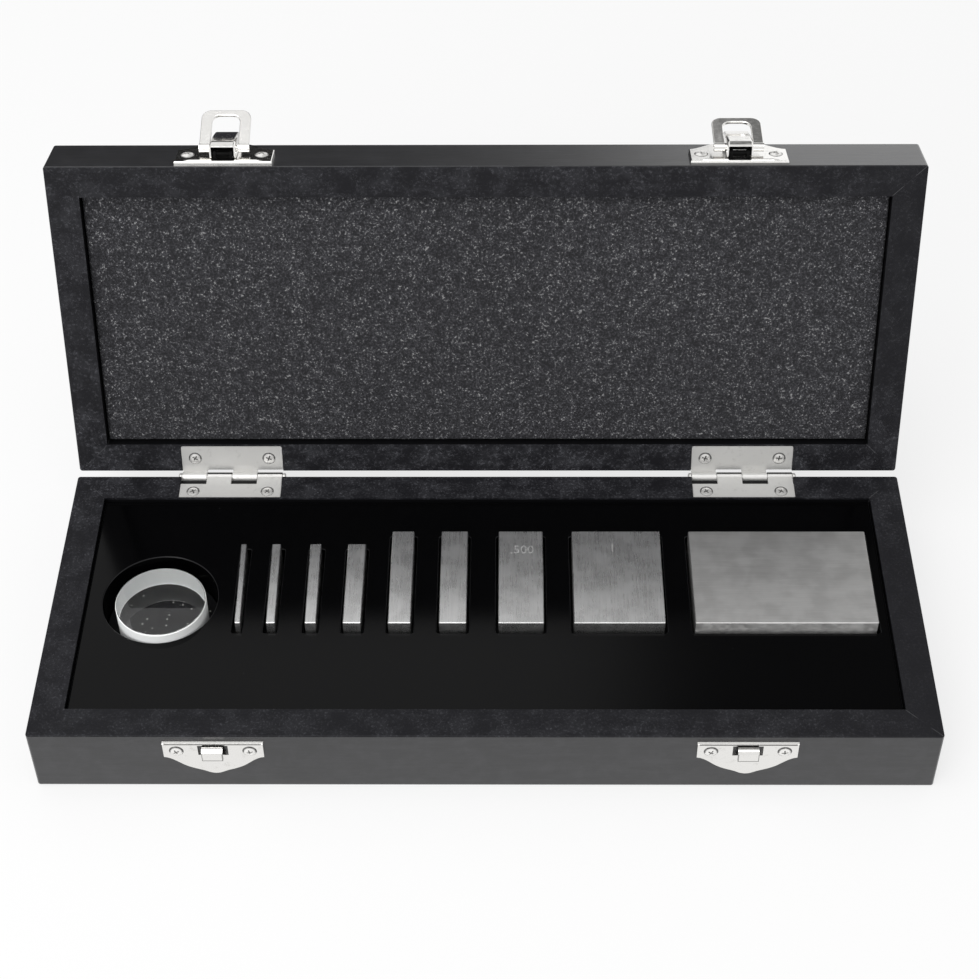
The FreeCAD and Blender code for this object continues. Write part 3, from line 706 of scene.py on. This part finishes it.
def dress(nodes: Iterable[str], material: Material) -> None:
    """Give CAD nodes a material."""
    for name in nodes:
        for holder in frame["nodes"][name].material_slots:
            holder.material = material
        log.info("dressed %s in %s", name, material.name)


def piece(name: str, shape: BMesh, material: Material, body: str,
          replaced: Iterable[str] = ()) -> Object:
    """Turn a finished bmesh into a piece of the set.

    Args:
        name: the piece's name.
        shape: its mesh, freed here.
        material: its finish.
        body: the body it rides on.
        replaced: the CAD nodes it stands for.

    Returns:
        The object.
    """
    made = solid(name, shape)
    made.data.materials.append(material)
    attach(made, body)
    if replaced:
        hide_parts(*replaced)
    log.info("built %s with %d faces", name, len(made.data.polygons))
    return made


def shade_smooth(shape: BMesh, angle_deg: float = 35.0) -> None:
    """Smooth a mesh's faces and keep its edges sharp past an angle."""
    for face in shape.faces:
        face.smooth = True
    for edge in shape.edges:
        edge.smooth = edge.calc_face_angle(0.0) < math.radians(angle_deg)


def extent(verts: Iterable[Any], undo: Matrix) -> tuple[Vector, Vector]:
    """Return the lowest and highest corners of some vertices after a turn is undone."""
    points = [undo @ vertex.co for vertex in verts]
    low = Vector(min(point[axis] for point in points) for axis in range(3))
    high = Vector(max(point[axis] for point in points) for axis in range(3))
    return low, high


def corners_of(node: str, undo: Matrix) -> tuple[Vector, Vector]:
    """Return a CAD node's lowest and highest corners after a turn is undone."""
    return extent(frame["nodes"][node].data.vertices, undo)


def islands_of(node: str, undo: Matrix) -> list[tuple[Vector, Vector]]:
    """Return the corners of each separate solid in a CAD node, from left to right.

    Args:
        node: the node's name.
        undo: the turn to undo first.

    Returns:
        Each solid's lowest and highest corner.
    """
    shape = bmesh.new()
    shape.from_mesh(frame["nodes"][node].data)
    bmesh.ops.remove_doubles(shape, verts=shape.verts, dist=WELD)
    left = set(shape.verts)
    found = []
    while left:
        front = [left.pop()]
        member = list(front)
        while front:
            for edge in front.pop().link_edges:
                for vertex in edge.verts:
                    if vertex in left:
                        left.remove(vertex)
                        front.append(vertex)
                        member.append(vertex)
        found.append(extent(member, undo))
    shape.free()
    return sorted(found, key=lambda span: span[0].x)


# --- Case ---
@dataclass
class WoodenCase:
    """The mitred rails and boards of both halves."""

    swing: Swing

    def dress(self) -> None:
        """Dress every rail and board."""
        low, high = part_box("base_front_rail")
        corner = (high.x, -low.y)
        side_low, side_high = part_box("base_left_rail")
        rail = side_high.x - side_low.x
        for half in Half:
            along_x, along_y = (
                StainedWood(half, run, self.swing, corner, high.z, rail).material() for run in Run)
            board = "base_bottom_board" if half is Half.BASE else "lid_top_board"
            dress([f"{half.value}_front_rail", f"{half.value}_back_rail", board], along_x)
            dress([f"{half.value}_left_rail", f"{half.value}_right_rail"], along_y)


@dataclass
class LidLining:
    """The foam pad in the lid, softly crowned and uneven on its open face."""

    swing: Swing
    edge_round: float = 0.9 * MM
    pitch: float = 2.2 * MM
    crown: float = 0.35 * MM
    unevenness: float = 0.22 * MM
    clearance: float = 0.05 * MM
    broad: float = 9 * MM
    fine: float = 3 * MM

    def build(self) -> Object:
        """Return the pad."""
        opened = self.swing.matrix()
        low, high = corners_of("lid_foam", opened.inverted())
        size = high - low - Vector((2 * self.clearance, 2 * self.clearance, self.clearance + self.crown))
        middle = (low + high) / 2 + Vector((0, 0, self.crown / 2))
        shape = bmesh.new()
        slab = Matrix.Translation(middle) @ Matrix.Diagonal((*size, 1.0))
        bmesh.ops.create_cube(shape, size=1.0, matrix=slab)
        front = middle.z - size.z / 2
        rim = [edge for edge in shape.edges if all(abs(v.co.z - front) < 0.01 * MM for v in edge.verts)]
        bmesh.ops.bevel(shape, geom=rim, offset=self.edge_round, segments=4, profile=0.5,
                        affect="EDGES", material=-1)
        self._cut(shape, 0, size.x)
        self._cut(shape, 1, size.y)
        for vertex in shape.verts:
            if vertex.co.z < front + self.edge_round:
                across = 1 - (2 * (vertex.co.x - middle.x) / size.x) ** 4
                along = 1 - (2 * (vertex.co.y - middle.y) / size.y) ** 4
                lift = noise.noise(vertex.co / self.broad) + 0.5 * noise.noise(vertex.co / self.fine)
                swell = max(across * along, 0.0)
                vertex.co.z -= (self.crown - self.unevenness) * swell + self.unevenness * lift * 0.6 * swell
        bmesh.ops.transform(shape, matrix=opened, verts=shape.verts)
        shade_smooth(shape)
        made = piece("lid_foam_pad", shape, OpenCellFoam().material(), "lid", ["lid_foam"])
        return made

    def _cut(self, shape: BMesh, axis: int, length: float) -> None:
        """Cut the pad across one axis, 0 for X or 1 for Y, at a steady pitch along its length."""
        steps = int(length / self.pitch)
        normal = Vector((1, 0, 0)) if axis == 0 else Vector((0, 1, 0))
        start = min(vertex.co[axis] for vertex in shape.verts)
        for step in range(1, steps):
            place = normal * (start + length * step / steps)
            geometry = shape.verts[:] + shape.edges[:] + shape.faces[:]
            bmesh.ops.bisect_plane(shape, geom=geometry, plane_co=place, plane_no=normal, dist=WELD)


# --- Insert and what stands in it ---
class BlockSize(Enum):
    """The nine blocks, by the end of their nodes' names."""

    S0_0625 = "0_0625"
    S0_100 = "0_100"
    S0_125 = "0_125"
    S0_200 = "0_200"
    S0_250 = "0_250"
    S0_300 = "0_300"
    S0_500 = "0_500"
    S1_000 = "1_000"
    S2_000 = "2_000"

    @property
    def node(self) -> str:
        """Return the block's node."""
        return f"gauge_block_{self.value}_in"


@dataclass
class SizeMark:
    """A size lightly etched on top of one block: its text, and its middle from the block's back middle."""

    block: BlockSize
    text: str
    across: float
    forward: float
    height: float = 4.4 * MM
    narrow: float = 0.9
    proud: float = 0.012 * MM
    thin: float = 0.004 * MM
    weld: float = 0.0005 * MM

    def build(self, material: Material) -> Object:
        """Return the mark."""
        low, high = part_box(self.block.node)
        curve = bpy.data.curves.new("mark_text", "FONT")
        curve.body = self.text
        curve.size = self.height
        curve.align_x = curve.align_y = "CENTER"
        curve.extrude = self.proud
        curve.offset = -self.thin
        curve.resolution_u = 3
        passing = added("mark_text", curve)
        made = flattened(passing)
        shape = bmesh.new()
        shape.from_mesh(made)
        bmesh.ops.remove_doubles(shape, verts=shape.verts, dist=self.weld)
        place = Vector(((low.x + high.x) / 2 + self.across, high.y - self.forward, high.z))
        seat = Matrix.Translation(place) @ Matrix.Diagonal((self.narrow, 1.0, 1.0, 1.0))
        bmesh.ops.transform(shape, matrix=seat, verts=shape.verts)
        bpy.data.objects.remove(passing)
        bpy.data.curves.remove(curve)
        bpy.data.meshes.remove(made)
        return piece(f"etched_size_{self.block.value}", shape, material, "base")


@dataclass
class BlockRow:
    """The gauge blocks and the sizes etched on two of them."""

    end_face: float = 0.06 * MM

    def dress(self) -> None:
        """Dress the blocks in strokes along their length, the largest across it."""
        end = max(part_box(size.node)[0].y for size in BlockSize) + self.end_face
        warm, grey = (0.74, 0.735, 0.725), (0.50, 0.495, 0.485)
        turned = LappedSteel(Run.X, end, scuffed_end=0.52, depth=4.4, rough=0.30, pale=warm, dim=grey)
        across = turned.material()
        along = LappedSteel(Run.Y, end).material()
        for size in BlockSize:
            dress([size.node], across if size is BlockSize.S2_000 else along)

    def build_marks(self) -> None:
        """Build the marks."""
        etched = EtchedMark().material()
        SizeMark(BlockSize.S0_500, ".500", 0.4 * MM, 7.4 * MM).build(etched)
        SizeMark(BlockSize.S1_000, "1", -1.1 * MM, 6.6 * MM).build(etched)


@dataclass
class InsertTray:
    """The black insert, the felt in its pocket and the optical flat."""

    felt_gap: float = 0.12 * MM
    loose: float = 0.05 * MM
    hem: float = 0.6 * MM
    hem_drop: float = 0.3 * MM
    hem_near: float = 0.1 * MM

    def dress(self) -> None:
        """Dress the insert and the flat."""
        dress(["insert"], GlossPaint(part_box("insert")[1].z).material())
        low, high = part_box("optical_flat")
        middle = (low + high) / 2
        dress(["optical_flat"], GroundGlass((middle.x, middle.y), (high.x - low.x) / 2).material())

    def build_felt(self) -> Object:
        """Return the felt disc, a little loose at its edge."""
        low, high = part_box("flat_pad")
        middle = (low + high) / 2
        radius = (high.x - low.x) / 2 - self.loose
        thick = high.z - low.z - self.felt_gap
        shape = bmesh.new()
        bmesh.ops.create_circle(shape, cap_ends=True, segments=64, radius=radius,
                                matrix=Matrix.Translation((middle.x, middle.y, low.z)))
        raised = bmesh.ops.extrude_face_region(shape, geom=shape.faces[:])["geom"]
        upper = [item for item in raised if isinstance(item, bmesh.types.BMVert)]
        bmesh.ops.translate(shape, verts=upper, vec=(0, 0, thick))
        near_top = low.z + thick * 0.9
        top = [face for face in shape.faces if face.calc_center_median().z > near_top]
        bmesh.ops.inset_region(shape, faces=top, thickness=self.hem)
        rim = [vertex for vertex in shape.verts if vertex.co.z > near_top
               and (vertex.co.xy - middle.xy).length > radius - self.hem_near]
        bmesh.ops.translate(shape, verts=rim, vec=(0, 0, -self.hem_drop))
        bmesh.ops.recalc_face_normals(shape, faces=shape.faces)
        shade_smooth(shape)
        made = piece("pocket_felt", shape, Felt().material(), "base", ["flat_pad"])
        return made


# --- Fittings ---
@dataclass(frozen=True)
class CrossScrew:
    """A countersunk screw with a raised head and a cross recess."""

    head_radius: float = 1.95 * MM
    dome: float = 0.6 * MM
    cone: float = 0.9 * MM
    shank: float = 0.9 * MM
    length: float = 6.0 * MM
    point: float = 1.2 * MM
    arm: float = 1.2 * MM
    arm_width: float = 0.5 * MM
    recess: float = 0.34 * MM
    taper: float = 0.65
    weld: float = 0.002 * MM
    sunk: float = 0.12 * MM
    upper_rim: float = 0.78
    lower_rim: float = 0.93
    sunk_shade: float = 0.85
    grime: str = "grime"
    steps: int = 40
    arc_points: int = 6

    def mesh(self, turn_deg: float) -> bpy.types.Mesh:
        """Return one screw whose head's rim lies at z = 0, its recess turned."""
        radius = (self.head_radius ** 2 + self.dome ** 2) / (2 * self.dome)
        widest = math.asin(self.head_radius / radius)
        profile = []
        for index in range(self.arc_points + 1):
            angle = widest * index / self.arc_points
            profile.append(Vector((radius * math.sin(angle), 0, self.dome - radius * (1 - math.cos(angle)))))
        below = ((self.shank, -self.cone), (self.shank, self.point - self.length), (0, -self.length))
        profile += [Vector((out, 0, height)) for out, height in below]
        shape = bmesh.new()
        verts = [shape.verts.new(point) for point in profile]
        edges = [shape.edges.new(pair) for pair in zip(verts, verts[1:])]
        bmesh.ops.spin(shape, geom=verts + edges, axis=(0, 0, 1), angle=2 * math.pi, steps=self.steps,
                       use_merge=True)
        bmesh.ops.remove_doubles(shape, verts=shape.verts, dist=self.weld)
        bmesh.ops.recalc_face_normals(shape, faces=shape.faces)
        body = solid("screw_body", shape)
        cutter = solid("screw_recess", self._recess(turn_deg))
        cut = body.modifiers.new("recess", "BOOLEAN")
        cut.operation = "DIFFERENCE"
        cut.object = cutter
        cut.solver = "EXACT"
        cut.use_self = True
        made = flattened(body)
        for spent in (body, cutter):
            bpy.data.objects.remove(spent)
        self._paint_shade(made, radius)
        return made

    def _paint_shade(self, mesh: bpy.types.Mesh, crown_radius: float) -> None:
        """Paint shade round the head's rim, on everything below the rim and in the cross recess, vertex by
        vertex.
        """
        marks = mesh.attributes.new(self.grime, "FLOAT", "POINT")
        for vertex, mark in zip(mesh.vertices, marks.data):
            reach = vertex.co.xy.length
            crown = self.dome - crown_radius + math.sqrt(max(crown_radius ** 2 - reach ** 2, 0.0))
            # The painted shade's ring is wider on the head's +y side: a painted shadow under the upper edge
            # of the screws that face the front.
            inner = self.upper_rim if vertex.co.y > -0.2 * reach else self.lower_rim
            if reach > inner * self.head_radius or vertex.co.z < 0:
                mark.value = 1.0
            elif vertex.co.z < crown - self.sunk:
                mark.value = self.sunk_shade

    def _recess(self, turn_deg: float) -> BMesh:
        """Return the tapered cross that is cut out of the head."""
        shape = bmesh.new()
        for quarter in (0.0, 90.0):
            turn = Matrix.Rotation(math.radians(turn_deg + quarter), 4, "Z")
            size = Matrix.Diagonal((2 * self.arm, self.arm_width, 2 * self.recess, 1.0))
            lift = Matrix.Translation((0, 0, self.dome))
            corners = bmesh.ops.create_cube(shape, size=1.0, matrix=lift @ turn @ size)["verts"]
            for vertex in corners:
                if vertex.co.z < self.dome:
                    vertex.co.x *= self.taper
                    vertex.co.y *= self.taper
        return shape


class Facing(Enum):
    """Which way a set of screws looks, with the lid shut."""

    UP = (0.0, 2, 1)
    DOWN = (math.pi, 2, -1)
    FRONT = (math.pi / 2, 1, -1)

    def turn(self) -> Matrix:
        """Return the turn from +Z to this side."""
        return Matrix.Rotation(self.value[0], 4, "X")

    def crown(self, low: Vector, high: Vector) -> Vector:
        """Return the middle of a solid's outermost end."""
        middle = (low + high) / 2
        axis = self.value[1]
        middle[axis] = high[axis] if self.value[2] > 0 else low[axis]
        return middle


@dataclass
class ScrewSet:
    """One node's screws, as one piece."""

    node: str
    facing: Facing
    half: Half
    dome: float
    swing: Swing
    seed: int

    def build(self, material: Material) -> Object:
        """Return the screws in their places."""
        picker = random.Random(self.seed)
        opened = self.swing.matrix() if self.half is Half.LID else Matrix.Identity(4)
        screw = CrossScrew(dome=self.dome)
        shape = bmesh.new()
        for low, high in islands_of(self.node, opened.inverted()):
            mesh = screw.mesh(picker.uniform(0, 90))
            seat = Matrix.Translation(self.facing.crown(low, high)) @ self.facing.turn()
            mesh.transform(opened @ seat @ Matrix.Translation((0, 0, -self.dome)))
            shape.from_mesh(mesh)
            bpy.data.meshes.remove(mesh)
        shade_smooth(shape, 28.0)
        name = self.node.replace("screws", "cross_screws")
        return piece(name, shape, material, self.half.value, [self.node])


@dataclass
class Fittings:
    """Hinges, latches, strikes and all their screws."""

    swing: Swing
    hinge_dome: float = 0.22 * MM
    plate_dome: float = 0.6 * MM

    def dress(self) -> None:
        """Dress the hinges and the latches."""
        tones = {"clean": (0.60, 0.595, 0.58), "dull": (0.44, 0.435, 0.42)}
        hinge = NickelPlate("hinge_nickel", rough=0.40, wave=0.05, metal=0.55, **tones).material()
        seat_plate = NickelPlate("hinge_seat_nickel", rough=0.45, wave=0.05, metal=0.35, **tones)
        # The hinges' seats, the levers' hollows and the strikes get painted shade.
        seat = seat_plate.material(self._joint())
        latch = NickelPlate("latch_nickel", rough=0.13, wave=0.04).material(self._channel(), self.swing)
        strike = NickelPlate("strike_nickel", rough=0.13, wave=0.04).material(self._strike_shade())
        for side in SIDES:
            dress([f"{side}_hinge_base_leaf"], seat)
            dress([f"{side}_hinge_lid_leaf", f"{side}_hinge_pin"], hinge)
            dress([f"{side}_latch_plate", f"{side}_lever_pin", f"{side}_latch_lever", f"{side}_loop_pin",
                   f"{side}_latch_loop"], latch)
            dress([f"{side}_strike_plate"], strike)

    def _joint(self) -> KnuckleJoint:
        """Return the painted shade at the hinges' joint, from a pin and the leaf that carries it."""
        low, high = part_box("left_hinge_pin")
        middle = (low + high) / 2
        return KnuckleJoint((middle.y, middle.z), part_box("left_hinge_base_leaf")[1].z - middle.z)

    def _strike_shade(self) -> StrikeShade:
        """Return the painted shade on the strikes, from the plates and the rail."""
        boxes = [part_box(f"{side}_strike_plate") for side in SIDES]
        middles = tuple((low.x + high.x) / 2 for low, high in boxes)
        return StrikeShade(middles, boxes[0][1].z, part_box("base_front_rail")[0].y)

    def _channel(self) -> LatchChannel:
        """Return the painted shade in the hollow under the levers, from the levers and the rail."""
        undo = self.swing.matrix().inverted()
        left, right = (corners_of(f"{side}_latch_lever", undo) for side in SIDES)
        middles = [(low.x + high.x) / 2 for low, high in (left, right)]
        low, high = left
        return LatchChannel(
            middle_x=sum(middles) / 2,
            spread_x=(middles[1] - middles[0]) / 2,
            half_width=(high.x - low.x) / 2,
            front=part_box("base_front_rail")[0].y,
            nose=low.z,
            top=high.z,
        )

    def build_screws(self) -> None:
        """Build the four sets of screws."""
        plate = ScrewPlate("screw_nickel", CrossScrew.grime).material()
        for node, facing, half, dome, seed in (
            ("base_hinge_screws", Facing.UP, Half.BASE, self.hinge_dome, 3),
            ("lid_hinge_screws", Facing.DOWN, Half.LID, self.hinge_dome, 5),
            ("strike_screws", Facing.FRONT, Half.BASE, self.plate_dome, 7),
            ("latch_plate_screws", Facing.FRONT, Half.LID, self.plate_dome, 11),
        ):
            ScrewSet(node, facing, half, dome, self.swing, seed).build(plate)


# --- Studio ---
@dataclass(frozen=True)
class SoftBox:
    """A square area light that looks at the case."""

    name: str
    place: Colour
    size: float
    watts: float
    aim: Colour = (0, 0, 0.03)

    def build(self) -> None:
        """Hang the light."""
        data = bpy.data.lights.new(self.name, "AREA")
        data.shape = "SQUARE"
        data.size = self.size
        data.energy = self.watts
        lamp = added(self.name, data)
        lamp.location = self.place
        lamp.rotation_euler = (Vector(self.aim) - Vector(self.place)).to_track_quat("-Z", "Y").to_euler()


@dataclass
class Studio:
    """Floor, lights, world and camera."""

    eye: Colour = (0.00686, -0.38738, 0.45872)
    pitch_deg: float = -45.422
    yaw_deg: float = -0.799
    roll_deg: float = -0.577
    lens: float = 76.21
    floor_half: float = 3.0
    fill: float = 0.62
    floor_glow: float = 0.72
    floor_cloud: float = 0.4
    floor_tints: tuple[Colour, Colour] = ((0.80, 0.80, 0.80), (0.82, 0.82, 0.82))
    dim_glow: Colour = (0.03, 0.03, 0.035)
    dim_back: Pair = (0.15, 0.35)
    dim_right: Pair = (-0.12, 0.10)
    horizon: Pair = (0.22, 0.40)
    panel: float = 0.95
    gap_depth: float = 0.80
    gap_left: Pair = (0.05, 0.13)
    gap_right: Pair = (0.45, 0.60)
    gap_top: Pair = (0.84, 0.92)

    def build(self) -> None:
        """Build the studio."""
        self._floor()
        self._world()
        self._camera()
        SoftBox("overhead_softbox", (-0.35, -0.25, 1.3), 1.2, 10.0).build()
        SoftBox("front_softbox", (-0.7, -1.2, 0.7), 0.9, 9.0).build()
        bpy.context.scene.view_settings.view_transform = "Standard"

    def _rays(self, paint: Paint) -> tuple[Signal, Signal, Signal]:
        """Return 1 for rays from the camera, off gloss and through glass, each on its own."""
        path = paint.node("ShaderNodeLightPath", {}, {})
        names = ("Is Camera Ray", "Is Glossy Ray", "Is Transmission Ray")
        return tuple(Signal(paint, path.outputs[name]) for name in names)

    def _floor(self) -> None:
        """Lay a white floor that keeps the set's shadow."""
        shape = bmesh.new()
        bmesh.ops.create_grid(shape, x_segments=1, y_segments=1, size=self.floor_half)
        floor = solid("studio_floor", shape)
        paint = Paint("floor_white")
        cloud = paint.noise(paint.place(), self.floor_cloud, detail=1.0)
        tint = paint.mix(cloud, *self.floor_tints)
        matt = paint.shader({"Base Color": tint, "Roughness": 1.0, "Specular IOR Level": 0.0})
        camera, gloss, through = self._rays(paint)
        x, y, _ = paint.parts(paint.place())
        far_left = y.between(*self.dim_back) * (1.0 - x.between(*self.dim_right))
        glow_tint = paint.mix(gloss * far_left, (1.0, 1.0, 1.0), self.dim_glow)
        glow = paint.node("ShaderNodeEmission", {}, {"Color": glow_tint, "Strength": 1.0}).outputs[0]
        shown = (camera.larger(through) * self.floor_glow).larger(gloss)
        mixed = paint.node("ShaderNodeMixShader", {}, {"Fac": shown, "Shader": matt, "Shader_001": glow})
        floor.data.materials.append(paint.finish(mixed.outputs[0]))

    def _world(self) -> None:
        """Surround the set with light: white behind it, and a tent with dark gaps in its reflections."""
        world = bpy.data.worlds.new("studio_world")
        paint = Paint(world.name, world)
        camera, gloss, through = self._rays(paint)
        tent = self._tent(paint)
        strength = self.fill + camera.larger(through) * (1.0 - self.fill) + gloss * (tent - self.fill)
        back = paint.node("ShaderNodeBackground", {}, {"Color": (1, 1, 1, 1), "Strength": strength})
        paint.node("ShaderNodeOutputWorld", {}, {"Surface": back.outputs[0]})
        bpy.context.scene.world = world

    def _tent(self, paint: Paint) -> Signal:
        """Return how bright the surroundings are in a reflection, by its direction."""
        x, y, z = paint.parts(paint.node("ShaderNodeTexCoord", {}, {}).outputs["Generated"])
        bearing = x / y.larger(0.05)
        behind = y.between(-0.10, 0.10)
        horizon = 1.0 - z.between(*self.horizon)
        gap = bearing.between(*self.gap_left) * (1.0 - bearing.between(*self.gap_right))
        panel = self.panel - gap * (1.0 - z.between(*self.gap_top)) * self.gap_depth
        edge = 0.015 + bearing.between(-0.06, 0.03) * 0.045 + bearing.between(0.02, 0.13) * 1.18
        return behind * (panel * (1.0 - horizon) + edge * horizon) + (1.0 - behind) * self.panel

    def _camera(self) -> None:
        """Set the camera in front of the case, looking down on it."""
        pitch, yaw, roll = (math.radians(angle) for angle in (self.pitch_deg, self.yaw_deg, self.roll_deg))
        forward = Vector((math.sin(yaw) * math.cos(pitch), math.cos(yaw) * math.cos(pitch), math.sin(pitch)))
        right = Vector((math.cos(yaw), -math.sin(yaw), 0))
        up = right.cross(forward)
        tilted_right = math.cos(roll) * right + math.sin(roll) * up
        tilted_up = math.cos(roll) * up - math.sin(roll) * right
        data = bpy.data.cameras.new("camera")
        data.lens = self.lens
        data.sensor_width = 36.0
        data.clip_start = 0.01
        data.clip_end = 20.0
        camera = added("camera", data)
        turn = Matrix((tilted_right, tilted_up, -forward)).transposed().to_4x4()
        camera.matrix_world = Matrix.Translation(self.eye) @ turn
        bpy.context.scene.camera = camera


def hinge_swing() -> Swing:
    """Return the lid's hinge line and how far it stands open, from the record's joints."""
    joint = next(item for item in frame["joints"] if item["name"] == "lid_hinge")
    return Swing(joint["pos_m"][1], joint["pos_m"][2], joint["range_deg"][1])


def main() -> None:
    """Build the set, piece by piece."""
    logging.basicConfig(level=logging.INFO, format="%(name)s: %(message)s")
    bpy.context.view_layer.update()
    swing = hinge_swing()
    WoodenCase(swing).dress()
    LidLining(swing).build()
    blocks = BlockRow()
    blocks.dress()
    blocks.build_marks()
    tray = InsertTray()
    tray.dress()
    tray.build_felt()
    fittings = Fittings(swing)
    fittings.dress()
    fittings.build_screws()
    Studio().build()


if __name__ == "__main__":
    main()
